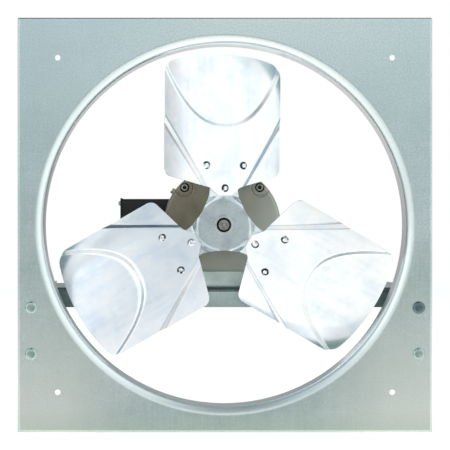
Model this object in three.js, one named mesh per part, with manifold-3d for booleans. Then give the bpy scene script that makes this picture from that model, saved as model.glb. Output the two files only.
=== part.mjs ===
// Panel exhaust fan with a three-blade propeller on the shaft of a small frame motor.
// Millimetres, +Z up. The fan axis is the Y axis, the front face of the panel lies at y = 0
// and faces -Y, and the motor stands behind it, towards +Y.

import * as THREE from 'three';
import { mergeVertices } from 'three/addons/utils/BufferGeometryUtils.js';
import Module from 'manifold-3d';

const wasm = await Module();
wasm.setup();

// Clearances
const fitGap = 0.3;
const airGap = 0.5;
const overrun = 2;

// Panel with its venturi
const panelSide = 482.6;
const panelSheet = 1.5;
const panelDepth = 38;
const panelBend = 2.5;
const panelMargin = 19.8;
const bellRadius = 10;
const throatDepth = 37;
const cornerHoleInset = 46.8;
const cornerHoleRadius = 3.3;

// Arms from the panel to the motor shelf
const armSheet = 2.5;
const armBend = 3;
const armTopRise = 6.5;
const armClearance = 1.3;
const armFootClearance = 0.5;
const armFootEdge = 16;

// Carriage bolts of the arms
const panelBoltShank = 3.1;
const panelBoltHead = 7.3;
const panelBoltDome = 3.4;
const panelBoltDrop = 19.5;
const panelBoltSpacing = 54;
const panelNutAcross = 11.1;
const panelNutHeight = 5.5;
const panelNutMargin = 2.1;

// Motor shelf between the arms
const shelfClearance = 14.1;
const shelfMargin = 6;
const shelfHeight = 24;
const shelfSheet = 2;
const shelfBend = 3;
const shelfBoltShank = 3;
const shelfBoltAcross = 11;
const shelfBoltHead = 4;
const shelfBoltInset = 26;
const shelfBoltDrop = 13;

// Motor base
const baseRise = 4.6;
const baseSheet = 2.5;
const baseWidth = 134;
const baseFrontClearance = 1.5;
const baseRearClearance = 2.9;
const baseFlange = 19;
const baseBend = 2.5;
const saddleSpread = 34;
const saddleSheet = 3;
const baseBoltShank = 3;
const baseBoltAcross = 11;
const baseBoltHead = 4;
const baseBoltInset = 13;
const baseBoltSpacing = 70;

// Motor casing
const shellRadius = 71.6;
const shellSheet = 2;
const shellLength = 98;
const shieldOverhang = 0.6;
const shieldDepth = 14;
const shieldSheet = 3;
const shieldRound = 4;
const bossWall = 3.5;
const bossReach = 7;
const shaftHoleClearance = 1.25;
const boltBossRadius = 8.5;
const boltPocketClearance = 1;
const boltPocketDepth = 3.4;
const throughBoltInset = 6.2;
const throughBoltShank = 2.2;
const throughBoltHead = 4.9;
const throughBoltHeadHeight = 3;
const throughBoltSocket = 1.9;

// Motor inside
const coreSetback = 19;
const coreBoreShare = 0.58;
const slotCount = 12;
const slotWidth = 7;
const slotDepth = 14;
const slotLiner = 0.75;
const boltNotchRadius = 3.4;
const windingClearance = 12.6;
const windingInset = 3;
const windingReach = 15;
const barDepth = 11;
const rotorOverhang = 1;
const shaftRadius = 6.35;
const bearingOuter = 17.5;
const bearingWidth = 11;

// Terminal box on the side of the motor
const boxReach = 126;
const boxHeight = 65;
const boxSetback = 7;
const boxWall = 2;
const coverSheet = 2;
const coverLip = 1.2;
const coverScrewHead = 2.9;
const coverScrewHeight = 2.8;
const coverScrewShank = 1.6;
const coverScrewInset = 5.5;
const coverScrewSetback = 9;
const capacitorWidth = 26;
const capacitorMargin = 1.8;
const capacitorEndGap = 7;

// Ground screw on the motor shell
const groundScrewRise = 8.74;
const groundScrewHead = 4;
const groundScrewHeight = 4;
const groundScrewShank = 2;
const groundScrewSetback = 9;

// Propeller
const bladeCount = 3;
const tipClearance = 8.3;
const propellerPlane = 42;
const pitch = 22;
const bladeHalfWidth = 75;
const bladeSheet = 1.6;
const bladeShoulderRise = 14.8;
const bladeNeckRise = 9.5;
const bladeNeckHalfWidth = 20;
const bladeEndGap = 0.2;
const bladeEndHalfWidth = 8;
const bladeTipCorner = 13;
const bladeShoulderCorner = 8;
const joggleDepth = 2.4;
const joggleRun = 5.4;
const tipJoggleShare = 0.482;
const tipJoggleRiseShare = 0.399;
const tipJogglePower = 2.4;
const sideJoggleFoot = 25;
const sideJoggleTopShare = 0.5286;
const sweepBack = 3.5;
const sweepStart = 30;

// Spider that carries the blades
const spiderSheet = 3;
const spiderWebRadius = 30.4;
const spiderCurveRadius = 67.8;
const spiderFlatRadius = 27;
const spiderTwistRun = 8;
const spiderPadRise = 11.3;
const spiderPadFlare = 6;
const spiderPadLength = 22;
const spiderPadHalfWidth = 30;
const spiderPadEndHalfWidth = 24;
const spiderHole = 10.3;

// Rivets of the blades
const rivetShank = 2.5;
const rivetHead = 4.9;
const rivetHeadHeight = 2;
const rivetTail = 4;
const rivetTailHeight = 1.6;
const outerRivetInset = 6.1;
const outerRivetRise = 8.9;
const innerRivetRise = 8.6;

// Hub of the propeller
const hubRadius = 16;
const hubLength = 30.2;
const hubCollarOverlap = 1.8;
const hubCollarHeight = 4;
const hubRecessWidth = 1.95;
const hubRecessDepth = 2.5;
const shaftProud = 2;
const shaftRearInset = 2;
const setScrewRadius = 3;
const setScrewSetback = 12;
const setScrewSocketDepth = 3.7;

// Facets in the round pieces
const traySides = 4;
const throatFacets = 72;
const casingFacets = 36;
const windingFacets = 24;
const hubFacets = 20;
const pinFacets = 10;
const rivetFacets = 8;
const hexFacets = 6;
const bendFacets = 3;
const bellFacets = 4;
const cornerFacets = 3;

// Places that follow from the sizes above
const halfPanel = panelSide / 2;
const throatRadius = halfPanel - panelMargin - bellRadius;
const tipRadius = throatRadius - tipClearance;
const armInside = throatRadius + panelSheet + armClearance;
const armOutside = halfPanel - panelBend - armFootClearance;
const spiderTwistEnd = spiderFlatRadius + spiderTwistRun;
const bladeBack = -spiderSheet / 2 - fitGap;
const bladeEnd = spiderTwistEnd + bladeEndGap;
const bladeNeck = bladeEnd + bladeNeckRise;
const spiderPadStart = bladeNeck + spiderPadRise;
const spiderPadShoulder = spiderPadStart + spiderPadFlare;
const bladeShoulder = bladeNeck + bladeShoulderRise;
const bladeSpan = tipRadius - bladeEnd;
const bladeRearReach = bladeBack + sweepBack + joggleDepth;
const bladeRear =
  propellerPlane + bladeHalfWidth * Math.sin(radians(pitch)) + bladeRearReach * Math.cos(radians(pitch));
const hubRear = propellerPlane + spiderSheet / 2 + fitGap + hubLength;
const shelfFront = bladeRear + shelfClearance;
const baseFront = shelfFront + shelfMargin;
const shieldFront = baseFront + baseSheet + baseFrontClearance;
const shellFront = shieldFront + shieldDepth + fitGap;
const shellRear = shellFront + shellLength;
const shieldRear = shellRear + fitGap + shieldDepth;
const baseRear = shieldRear + baseRearClearance + baseSheet;
const shelfRear = baseRear + shelfMargin;
const frontBearingFace = shieldFront;
const rearBearingFace = shieldRear - bearingWidth;
const shaftHeight = shellRadius + baseRise;
const shelfTop = -shaftHeight - fitGap;
const armTop = shelfTop + armTopRise;
const armFoot = shelfTop - panelBoltDrop - panelBoltSpacing - armFootEdge;
const shieldRadius = shellRadius + shieldOverhang;
const bossRadius = bearingOuter + bossWall;
const boltOffset = (shellRadius - throughBoltInset) * Math.SQRT1_2;
const coreOuter = (shellRadius - shellSheet) * Math.cos(Math.PI / casingFacets) - fitGap;
const coreBore = coreOuter * coreBoreShare;
const coreStart = shellFront + coreSetback;
const coreEnd = shellRear - coreSetback;
const boxStart = shellFront + boxSetback;
const boxLength = shellLength - 2 * boxSetback;

// Finishes
const galvanised = { color: 0xb4c4c2, roughness: 0.45, metalness: 0.75 };
const aluminium = { color: 0xe6eaee, roughness: 0.35, metalness: 0.8 };
const zincPlated = { color: 0xb9c0c4, roughness: 0.35, metalness: 0.9 };
const platedSpider = { color: 0xa9b4be, roughness: 0.4, metalness: 0.85 };
const paintedShield = { color: 0x7c7668, roughness: 0.5, metalness: 0.35 };
const paintedShell = { color: 0x6d685c, roughness: 0.5, metalness: 0.3 };
const groundSteel = { color: 0x8e8c84, roughness: 0.3, metalness: 0.95 };
const darkSteel = { color: 0x4a4b4c, roughness: 0.5, metalness: 0.8 };
const copper = { color: 0xb06a3c, roughness: 0.4, metalness: 0.8 };
const blackPlastic = { color: 0x1b1c1e, roughness: 0.55, metalness: 0 };
const capacitorCan = { color: 0x9aa0a4, roughness: 0.4, metalness: 0.7 };
const greenScrew = { color: 0x8fa08c, roughness: 0.4, metalness: 0.6 };

function solidOf(geometry) {
  const bare = geometry.index ? geometry.clone() : mergeVertices(geometry);
  bare.deleteAttribute('normal');
  bare.deleteAttribute('uv');
  const merged = mergeVertices(bare);
  const mesh = new wasm.Mesh({
    numProp: 3,
    vertProperties: Float32Array.from(merged.attributes.position.array),
    triVerts: Uint32Array.from(merged.index.array),
  });
  return new wasm.Manifold(mesh);
}

function geometryOf(solid) {
  const mesh = solid.getMesh();
  const geometry = new THREE.BufferGeometry();
  geometry.setAttribute('position', new THREE.BufferAttribute(mesh.vertProperties, 3));
  geometry.setIndex(new THREE.BufferAttribute(mesh.triVerts, 1));
  return geometry;
}

function join(first, ...others) {
  return geometryOf(others.reduce((sum, other) => sum.add(solidOf(other)), solidOf(first)));
}

function cut(body, ...tools) {
  return geometryOf(tools.reduce((rest, tool) => rest.subtract(solidOf(tool)), solidOf(body)));
}

function common(first, second) {
  return geometryOf(solidOf(first).intersect(solidOf(second)));
}

// A ring about the Y axis, from (radius, y) points that close on themselves in either direction.
function turned(points, facets = casingFacets, start = 0) {
  const profile = points.map(([radius, y]) => new THREE.Vector2(radius, y));
  if (THREE.ShapeUtils.isClockWise(profile)) profile.reverse();
  profile.push(profile[0].clone());
  return new THREE.LatheGeometry(profile, facets, start);
}

function rodAlongY(radius, start, end, facets = pinFacets) {
  const rod = new THREE.CylinderGeometry(radius, radius, end - start, facets);
  return rod.translate(0, (start + end) / 2, 0);
}

function rodAlongX(radius, start, end, facets = pinFacets) {
  return rodAlongY(radius, start, end, facets).rotateZ(-Math.PI / 2);
}

function rodAlongZ(radius, start, end, facets = pinFacets) {
  return rodAlongY(radius, start, end, facets).rotateX(Math.PI / 2);
}

function block(from, to) {
  const size = to.map((value, axis) => value - from[axis]);
  const middle = to.map((value, axis) => (value + from[axis]) / 2);
  return new THREE.BoxGeometry(...size).translate(...middle);
}

// A plate whose outline is drawn in X and Z, between two places on Y.
function plateAcrossY(shape, start, end) {
  const plate = new THREE.ExtrudeGeometry(shape, { depth: end - start, bevelEnabled: false });
  return plate.rotateX(Math.PI / 2).translate(0, end, 0);
}

// A section drawn in Y and Z that runs between two places on X.
function sectionAlongX(shape, start, end) {
  const run = new THREE.ExtrudeGeometry(shape, { depth: end - start, bevelEnabled: false });
  const yAxis = new THREE.Vector3(0, 1, 0);
  const zAxis = new THREE.Vector3(0, 0, 1);
  const xAxis = new THREE.Vector3(1, 0, 0);
  return run.applyMatrix4(new THREE.Matrix4().makeBasis(yAxis, zAxis, xAxis)).translate(start, 0, 0);
}

// A section drawn in X and Y that runs between two places on Z.
function sectionAlongZ(shape, start, end) {
  const run = new THREE.ExtrudeGeometry(shape, { depth: end - start, bevelEnabled: false });
  return run.translate(0, 0, start);
}

function radians(degrees) {
  return (degrees * Math.PI) / 180;
}

// The line beside a path of straight runs, at a set distance to its left.
function besidePath(path, distance) {
  return path.map((point, index) => {
    const before = path[Math.max(index - 1, 0)];
    const after = path[Math.min(index + 1, path.length - 1)];
    const enter = (index === 0 ? after.clone().sub(point) : point.clone().sub(before)).normalize();
    const leave = (after === point ? enter.clone() : after.clone().sub(point)).normalize();
    const left = new THREE.Vector2(-enter.y - leave.y, enter.x + leave.x).normalize();
    const lean = left.dot(new THREE.Vector2(-enter.y, enter.x));
    return point.clone().addScaledVector(left, distance / lean);
  });
}

// The same path with an arc at each inner corner: tight on the side that the sheet bends towards.
function roundedPath(path, leftRadius, rightRadius) {
  const points = [path[0]];
  for (let index = 1; index < path.length - 1; index += 1) {
    const enter = path[index].clone().sub(path[index - 1]).normalize();
    const leave = path[index + 1].clone().sub(path[index]).normalize();
    const turn = Math.atan2(enter.cross(leave), enter.dot(leave));
    const radius = turn > 0 ? leftRadius : rightRadius;
    const side = new THREE.Vector2(-enter.y, enter.x).multiplyScalar(Math.sign(turn));
    const start = path[index].clone().addScaledVector(enter, -radius * Math.tan(Math.abs(turn) / 2));
    const centre = start.clone().addScaledVector(side, radius);
    for (let step = 0; step <= bendFacets; step += 1) {
      const angle = (turn * step) / bendFacets;
      points.push(start.clone().rotateAround(centre, angle));
    }
  }
  points.push(path[path.length - 1]);
  return points;
}

// The section of a folded sheet: the given path is its right face, and the sheet lies to its left.
function foldedSheet(corners, sheet, innerRadius) {
  const right = corners.map(([x, y]) => new THREE.Vector2(x, y));
  const left = besidePath(right, sheet);
  const outer = innerRadius + sheet;
  const rightFace = roundedPath(right, outer, innerRadius);
  const leftFace = roundedPath(left, innerRadius, outer);
  return new THREE.Shape([...rightFace, ...leftFace.reverse()]);
}

function hexRadius(acrossFlats) {
  return acrossFlats / 2 / Math.cos(Math.PI / hexFacets);
}

// A bolt along Y: its head lies before y = 0 and its shank after it.
function hexBolt(acrossFlats, headHeight, shank, length) {
  const head = rodAlongY(hexRadius(acrossFlats), -headHeight, 0, hexFacets);
  return join(head, rodAlongY(shank, -headHeight / 2, length));
}

function domeBolt(headRadius, dome, shank, length) {
  const sphere = (headRadius ** 2 + dome ** 2) / (2 * dome);
  const points = [new THREE.Vector2(0, -dome)];
  for (let step = 1; step <= cornerFacets; step += 1) {
    const radius = (headRadius * step) / cornerFacets;
    points.push(new THREE.Vector2(radius, sphere - dome - Math.sqrt(sphere ** 2 - radius ** 2)));
  }
  points.push(new THREE.Vector2(shank, 0), new THREE.Vector2(shank, length));
  points.push(new THREE.Vector2(0, length));
  return new THREE.LatheGeometry(points, pinFacets);
}

function hexNut(acrossFlats, height, shank) {
  const blank = rodAlongY(hexRadius(acrossFlats), 0, height, hexFacets);
  return cut(blank, rodAlongY(shank + fitGap, -overrun, height + overrun));
}

const exhaustFan = new THREE.Group();

function place(parent, name, geometry, finish, position = [0, 0, 0]) {
  const piece = new THREE.Mesh(geometry, new THREE.MeshStandardMaterial(finish));
  piece.name = name;
  piece.position.set(...position);
  parent.add(piece);
  return piece;
}

function sides() {
  return [
    { side: 'left', sign: -1 },
    { side: 'right', sign: 1 },
  ];
}

function panelBoltPlaces() {
  const x = armInside + armSheet + panelNutMargin + hexRadius(panelNutAcross);
  const z = shelfTop - panelBoltDrop;
  return [
    { level: 'upper', x, z },
    { level: 'lower', x, z: z - panelBoltSpacing },
  ];
}

// The square tray: a turned profile with four sides has mitred corners.
function panelTray(inside) {
  const section = [
    [inside, panelSheet],
    [inside, 0],
  ];
  const outer = halfPanel - panelBend;
  const inner = panelBend - panelSheet;
  for (let step = 0; step <= bendFacets; step += 1) {
    const angle = (Math.PI / 2) * (step / bendFacets);
    section.push([outer + panelBend * Math.sin(angle), panelBend * (1 - Math.cos(angle))]);
  }
  section.push([halfPanel, panelDepth], [halfPanel - panelSheet, panelDepth]);
  for (let step = bendFacets; step >= 0; step -= 1) {
    const angle = (Math.PI / 2) * (step / bendFacets);
    section.push([outer + inner * Math.sin(angle), panelBend - inner * Math.cos(angle)]);
  }
  const corners = section.map(([half, y]) => [half * Math.SQRT2, y]);
  return turned(corners, traySides, Math.PI / traySides);
}

// The flat face runs inwards, rolls over the bell mouth and goes back as the throat.
function venturi(outside) {
  const section = [
    [outside, 0],
    [outside, panelSheet],
  ];
  const rollRadius = throatRadius + bellRadius;
  for (let step = 0; step <= bellFacets; step += 1) {
    const angle = (Math.PI / 2) * (step / bellFacets);
    const inner = bellRadius - panelSheet;
    section.push([rollRadius - inner * Math.sin(angle), bellRadius - inner * Math.cos(angle)]);
  }
  section.push([throatRadius + panelSheet, throatDepth], [throatRadius, throatDepth]);
  for (let step = bellFacets; step >= 0; step -= 1) {
    const angle = (Math.PI / 2) * (step / bellFacets);
    section.push([rollRadius - bellRadius * Math.sin(angle), bellRadius * (1 - Math.cos(angle))]);
  }
  return turned(section, throatFacets);
}

function makePanel() {
  const mouth = throatRadius + bellRadius;
  const lap = (halfPanel - panelBend - mouth) / 2;
  const flat = new THREE.Shape();
  const half = mouth + lap;
  flat.moveTo(-half, -half).lineTo(half, -half).lineTo(half, half).lineTo(-half, half);
  const opening = new THREE.Path();
  opening.absarc(0, 0, mouth + lap / 2, 0, 2 * Math.PI, true);
  flat.holes.push(opening);
  const holes = [];
  const corner = halfPanel - cornerHoleInset;
  for (const x of [-corner, corner]) {
    for (const z of [-corner, corner]) {
      const drill = rodAlongY(cornerHoleRadius, -overrun, panelSheet + overrun);
      holes.push(drill.translate(x, 0, z));
    }
  }
  for (const { sign } of sides()) {
    for (const { x, z } of panelBoltPlaces()) {
      const drill = rodAlongY(panelBoltShank + fitGap, -overrun, panelSheet + overrun);
      holes.push(drill.translate(sign * x, 0, z));
    }
  }
  const sheet = join(panelTray(mouth + lap / 2), plateAcrossY(flat, 0, panelSheet), venturi(half));
  place(exhaustFan, 'panel', cut(sheet, ...holes), galvanised);
}

// The outline of an arm from the side, in Y and Z: deep at the panel, shallow at the shelf.
function armOutline() {
  const start = panelSheet + fitGap;
  const bottom = shelfTop - shelfHeight - armSheet;
  const outline = new THREE.Shape();
  outline.moveTo(start, armFoot);
  outline.lineTo(start + armOutside - armInside, armFoot);
  outline.lineTo(shelfFront + shelfBoltInset, bottom);
  outline.lineTo(shelfRear + armSheet, bottom);
  outline.lineTo(shelfRear + armSheet, shelfTop + armSheet);
  outline.lineTo(start, armTop);
  return outline;
}

function makeArms() {
  const start = panelSheet + fitGap;
  const section = foldedSheet(
    [
      [armInside, shelfRear + armSheet],
      [armInside, start],
      [armOutside, start],
    ],
    armSheet,
    armBend - armSheet / 2,
  );
  const folded = sectionAlongZ(section, armFoot - overrun, 0);
  const tools = panelBoltPlaces().map(({ x, z }) => {
    const drill = rodAlongY(panelBoltShank + fitGap, 0, start + armSheet + overrun);
    return drill.translate(x, 0, z);
  });
  for (const { y, z } of shelfBoltPlaces()) {
    const drill = rodAlongX(shelfBoltShank + fitGap, armInside - overrun, armOutside);
    tools.push(drill.translate(0, y, z));
  }
  const side = sectionAlongX(armOutline(), armInside - overrun, armOutside + overrun);
  const trimmed = common(folded, side);
  const arm = cut(trimmed, ...tools);
  place(exhaustFan, 'right_arm', arm, galvanised);
  place(exhaustFan, 'left_arm', mirroredX(arm), galvanised);
}

// A mirrored copy, with its faces turned round so that they still point out.
function mirroredX(geometry) {
  const copy = geometry.clone().scale(-1, 1, 1);
  const index = copy.index.array;
  for (let corner = 0; corner < index.length; corner += 3) {
    [index[corner], index[corner + 1]] = [index[corner + 1], index[corner]];
  }
  return copy;
}

function makePanelBolts() {
  const seat = panelSheet + fitGap + armSheet + fitGap;
  const length = seat + panelNutHeight + panelBoltShank;
  for (const { side, sign } of sides()) {
    for (const { level, x, z } of panelBoltPlaces()) {
      const bolt = domeBolt(panelBoltHead, panelBoltDome, panelBoltShank, length + fitGap);
      place(exhaustFan, `panel_bolt_${side}_${level}`, bolt, zincPlated, [sign * x, -fitGap, z]);
      const nut = hexNut(panelNutAcross, panelNutHeight, panelBoltShank);
      place(exhaustFan, `panel_nut_${side}_${level}`, nut, zincPlated, [sign * x, seat, z]);
    }
  }
}

function shelfBoltPlaces() {
  const z = shelfTop - shelfBoltDrop;
  return [
    { end: 'front', y: shelfFront + shelfBoltInset, z },
    { end: 'rear', y: shelfRear - shelfBoltInset, z },
  ];
}

// A channel open downwards, with an end tab at each arm.
function makeShelf() {
  const half = armInside - fitGap;
  const bottom = shelfTop - shelfHeight;
  const channel = foldedSheet(
    [
      [shelfRear, bottom],
      [shelfRear, shelfTop],
      [shelfFront, shelfTop],
      [shelfFront, bottom],
    ],
    shelfSheet,
    shelfBend - shelfSheet / 2,
  );
  const run = sectionAlongX(channel, -half, half);
  const tabs = sides().map(({ sign }) => {
    const near = Math.min(sign * half, sign * (half - shelfSheet));
    const lap = shelfSheet / 2;
    const front = shelfFront + lap;
    const from = [near, front, bottom];
    return block(from, [near + shelfSheet, shelfRear - lap, shelfTop - lap]);
  });
  const tools = [];
  for (const { y, z } of shelfBoltPlaces()) {
    const across = half + overrun;
    tools.push(rodAlongX(shelfBoltShank + fitGap, -across, across).translate(0, y, z));
  }
  for (const { x, y } of baseBoltPlaces()) {
    const drill = rodAlongZ(baseBoltShank + fitGap, shelfTop - shelfSheet - overrun, shelfTop + overrun);
    tools.push(drill.translate(x, y, 0));
  }
  place(exhaustFan, 'motor_shelf', cut(join(run, ...tabs), ...tools), galvanised);
}

function makeShelfBolts() {
  const outside = armInside + armSheet + fitGap;
  const reach = armSheet + shelfSheet + 3 * fitGap + shelfBoltHead + shelfBoltShank;
  const nutFace = armInside - fitGap - shelfSheet - fitGap;
  for (const { side, sign } of sides()) {
    const turn = (sign * Math.PI) / 2;
    for (const { end, y, z } of shelfBoltPlaces()) {
      const bolt = hexBolt(shelfBoltAcross, shelfBoltHead, shelfBoltShank, reach).rotateZ(turn);
      const seat = [sign * outside, y, z];
      place(exhaustFan, `shelf_bolt_${side}_${end}`, bolt, zincPlated, seat);
      const nut = hexNut(shelfBoltAcross, shelfBoltHead, shelfBoltShank).rotateZ(turn);
      place(exhaustFan, `shelf_nut_${side}_${end}`, nut, zincPlated, [sign * nutFace, y, z]);
    }
  }
}

function baseBoltPlaces() {
  const middle = (baseFront + baseRear) / 2;
  const places = [];
  for (const { side, sign } of sides()) {
    const x = sign * (baseWidth / 2 - baseBoltInset);
    places.push({ name: `${side}_front`, x, y: middle - baseBoltSpacing / 2 });
    places.push({ name: `${side}_rear`, x, y: middle + baseBoltSpacing / 2 });
  }
  return places;
}

// A plate with its front and rear edges turned up, and two ribs that carry the shell.
function makeMotorBase() {
  const top = -shaftHeight + baseSheet;
  const lip = -shaftHeight + baseFlange;
  const section = foldedSheet(
    [
      [baseFront, lip],
      [baseFront, -shaftHeight],
      [baseRear, -shaftHeight],
      [baseRear, lip],
    ],
    baseSheet,
    baseBend - baseSheet / 2,
  );
  const tray = sectionAlongX(section, -baseWidth / 2, baseWidth / 2);
  const seat = shellRadius + fitGap;
  const ribs = sides().map(({ sign }) => {
    const middle = sign * saddleSpread;
    const from = [middle - saddleSheet / 2, shellFront, top - baseSheet / 2];
    return block(from, [middle + saddleSheet / 2, shellRear, -shellRadius / 2]);
  });
  const bore = rodAlongY(seat, shellFront - overrun, shellRear + overrun, casingFacets);
  const trimmedRibs = ribs.map((rib) => cut(rib, bore));
  const holes = baseBoltPlaces().map(({ x, y }) => {
    const drill = rodAlongZ(baseBoltShank + fitGap, -shaftHeight - overrun, top + overrun);
    return drill.translate(x, y, 0);
  });
  place(exhaustFan, 'motor_base', cut(join(tray, ...trimmedRibs), ...holes), paintedShell);
}

function makeBaseBolts() {
  const seat = -shaftHeight + baseSheet + fitGap;
  const reach = seat - shelfTop + shelfSheet + 2 * baseBoltShank;
  for (const { name, x, y } of baseBoltPlaces()) {
    const bolt = hexBolt(baseBoltAcross, baseBoltHead, baseBoltShank, reach).rotateX(-Math.PI / 2);
    place(exhaustFan, `base_bolt_${name}`, bolt, zincPlated, [x, y, seat]);
  }
}

// One end shield, drawn for the front: its face lies at y = 0 and its skirt runs to the shell.
function shieldBody() {
  const inside = shieldRadius - shieldSheet;
  const pocket = bearingOuter + fitGap;
  const shaftHole = shaftRadius + shaftHoleClearance;
  const boltPocket = throughBoltHead + boltPocketClearance;
  const profile = [
    [shaftHole, -bossReach],
    [shaftHole, 0],
    [pocket, 0],
    [pocket, bearingWidth],
    [bossRadius, bearingWidth],
    [bossRadius, shieldSheet],
    [inside, shieldSheet],
    [inside, shieldDepth],
    [shieldRadius, shieldDepth],
    [shieldRadius, shieldRound],
    [shieldRadius - shieldRound, 0],
    [bossRadius + shieldSheet, 0],
    [bossRadius, -bossReach],
  ];
  const bosses = boltCorners().map(({ x, z }) => {
    return rodAlongY(boltBossRadius, shieldSheet / 2, shieldDepth - fitGap, pinFacets).translate(x, 0, z);
  });
  const rim = rodAlongY(shieldRadius - shieldRound / 2, 0, shieldDepth, casingFacets);
  const holes = boltCorners().flatMap(({ x, z }) => [
    rodAlongY(boltPocket, -overrun, boltPocketDepth + fitGap).translate(x, 0, z),
    rodAlongY(throughBoltShank + fitGap, 0, shieldDepth + overrun).translate(x, 0, z),
  ]);
  const trimmedBosses = bosses.map((boss) => common(boss, rim));
  return cut(join(turned(profile), ...trimmedBosses), ...holes);
}

function boltCorners() {
  return [
    { corner: 'upper_left', x: -boltOffset, z: boltOffset },
    { corner: 'upper_right', x: boltOffset, z: boltOffset },
    { corner: 'lower_left', x: -boltOffset, z: -boltOffset },
    { corner: 'lower_right', x: boltOffset, z: -boltOffset },
  ];
}

// The ground screw sits above the terminal box, on the left of the shell.
function groundScrewTurn() {
  const height = boxHeight / 2 + groundScrewRise;
  return Math.PI - Math.asin(height / (shellRadius + fitGap));
}

function makeMotorCasing() {
  const tube = turned([
    [shellRadius - shellSheet, shellFront],
    [shellRadius - shellSheet, shellRear],
    [shellRadius, shellRear],
    [shellRadius, shellFront],
  ]);
  const tapped = rodAlongX(groundScrewShank + fitGap, shellRadius / 2, shellRadius + overrun);
  tapped.rotateY(-groundScrewTurn()).translate(0, shellFront + groundScrewSetback, 0);
  place(exhaustFan, 'motor_shell', cut(tube, tapped), paintedShell);
  place(exhaustFan, 'front_shield', shieldBody(), paintedShield, [0, shieldFront, 0]);
  place(exhaustFan, 'rear_shield', shieldBody().rotateX(Math.PI), paintedShield, [0, shieldRear, 0]);
}

function makeThroughBolts() {
  const start = shieldFront + boltPocketDepth - throughBoltHeadHeight;
  const end = shieldRear - boltPocketDepth / 2;
  const headEnd = throughBoltHeadHeight;
  for (const { corner, x, z } of boltCorners()) {
    const head = rodAlongY(throughBoltHead, 0, headEnd);
    const bolt = join(head, rodAlongY(throughBoltShank, headEnd / 2, end - start));
    const socket = rodAlongY(throughBoltSocket, -overrun, headEnd / 2, hexFacets);
    place(exhaustFan, `through_bolt_${corner}`, cut(bolt, socket), zincPlated, [x, start, z]);
  }
}

// Laminated core with open slots on its bore and a notch for each through bolt.
function makeStatorCore() {
  const outline = new THREE.Shape();
  outline.absarc(0, 0, coreOuter, 0, 2 * Math.PI, false);
  const start = coreStart - overrun;
  const end = coreEnd + overrun;
  const tools = boltCorners().flatMap(({ x, z }) => [
    rodAlongY(boltNotchRadius, start, end).translate(x, 0, z),
    block([0, start, -boltNotchRadius], [coreOuter, end, boltNotchRadius])
      .rotateY(-Math.atan2(z, x))
      .translate(x, 0, z),
  ]);
  tools.push(rodAlongY(coreBore, start, end, casingFacets));
  for (let slot = 0; slot < slotCount; slot += 1) {
    const turn = (2 * Math.PI * (slot + 1 / 2)) / slotCount;
    const from = [coreBore - overrun, start, -slotWidth / 2];
    tools.push(block(from, [coreBore + slotDepth, end, slotWidth / 2]).rotateY(turn));
  }
  const body = plateAcrossY(outline, coreStart, coreEnd);
  place(exhaustFan, 'stator_core', cut(body, ...tools), darkSteel);
}

// End turns at both ends of the core, joined by the coil sides that lie in its slots.
function makeWinding() {
  const start = coreStart - fitGap;
  const end = coreEnd + fitGap;
  const bars = [];
  for (let slot = 0; slot < slotCount; slot += 1) {
    const turn = (2 * Math.PI * (slot + 1 / 2)) / slotCount;
    const outer = coreBore + slotDepth - fitGap;
    const halfBar = slotWidth / 2 - slotLiner;
    const from = [outer - barDepth, start - overrun, -halfBar];
    bars.push(block(from, [outer, end + overrun, halfBar]).rotateY(turn));
  }
  const rings = [
    endTurns(start - windingReach, start),
    endTurns(end, end + windingReach),
  ];
  place(exhaustFan, 'stator_winding', join(rings[0], rings[1], ...bars), copper);
}

function endTurns(from, to) {
  const outer = shellRadius - windingClearance;
  const inner = coreBore + windingInset;
  const round = (outer - inner) / 4;
  const section = [
    [inner, from + round],
    [inner, to - round],
    [inner + round, to],
    [outer - round, to],
    [outer, to - round],
    [outer, from + round],
    [outer - round, from],
    [inner + round, from],
  ];
  return turned(section, windingFacets);
}

function makeBearings() {
  for (const [name, start] of [
    ['front_bearing', frontBearingFace],
    ['rear_bearing', rearBearingFace],
  ]) {
    const shift = name === 'front_bearing' ? fitGap : -fitGap;
    const ring = turned(
      [
        [shaftRadius + fitGap, start + shift],
        [shaftRadius + fitGap, start + shift + bearingWidth],
        [bearingOuter, start + shift + bearingWidth],
        [bearingOuter, start + shift],
      ],
      hubFacets,
    );
    place(exhaustFan, name, ring, groundSteel);
  }
}

// The box is closed by its cover on the outside and by the motor shell on the inside.
function makeTerminalBox() {
  const half = boxHeight / 2;
  const rear = boxStart + boxLength;
  const coverFace = -boxReach + coverSheet;
  const bossSize = screwBossRadius();
  const body = block([coverFace + fitGap, boxStart, -half], [-shellRadius / 2, rear, half]);
  const inner = half - boxWall;
  const from = [coverFace - overrun, boxStart + boxWall, -inner];
  const backWall = shellRadius + fitGap + boxWall;
  const hollow = block(from, [-backWall, rear - boxWall, inner]);
  const shell = rodAlongY(shellRadius + fitGap, boxStart - overrun, rear + overrun, casingFacets);
  const bosses = coverScrewPlaces().map(({ y, z }) => {
    return rodAlongX(bossSize, coverFace + fitGap, -backWall).translate(0, y, z);
  });
  const tapped = coverScrewPlaces().map(({ y, z }) => {
    const drill = rodAlongX(coverScrewShank + fitGap, coverFace - overrun, -backWall - overrun);
    return drill.translate(0, y, z);
  });
  const limits = block([coverFace + fitGap, boxStart, -half], [0, rear, half]);
  const shaped = common(join(cut(body, hollow), ...bosses), limits);
  place(exhaustFan, 'terminal_box', cut(shaped, shell, ...tapped), blackPlastic);
}

function screwBossRadius() {
  return 2 * coverScrewShank + boxWall;
}

// The screws of the cover sit in opposite corners of the box.
function coverScrewPlaces() {
  const z = boxHeight / 2 - coverScrewInset;
  return [
    { level: 'upper', y: boxStart + coverScrewSetback, z },
    { level: 'lower', y: boxStart + boxLength - coverScrewSetback, z: -z },
  ];
}

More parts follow.
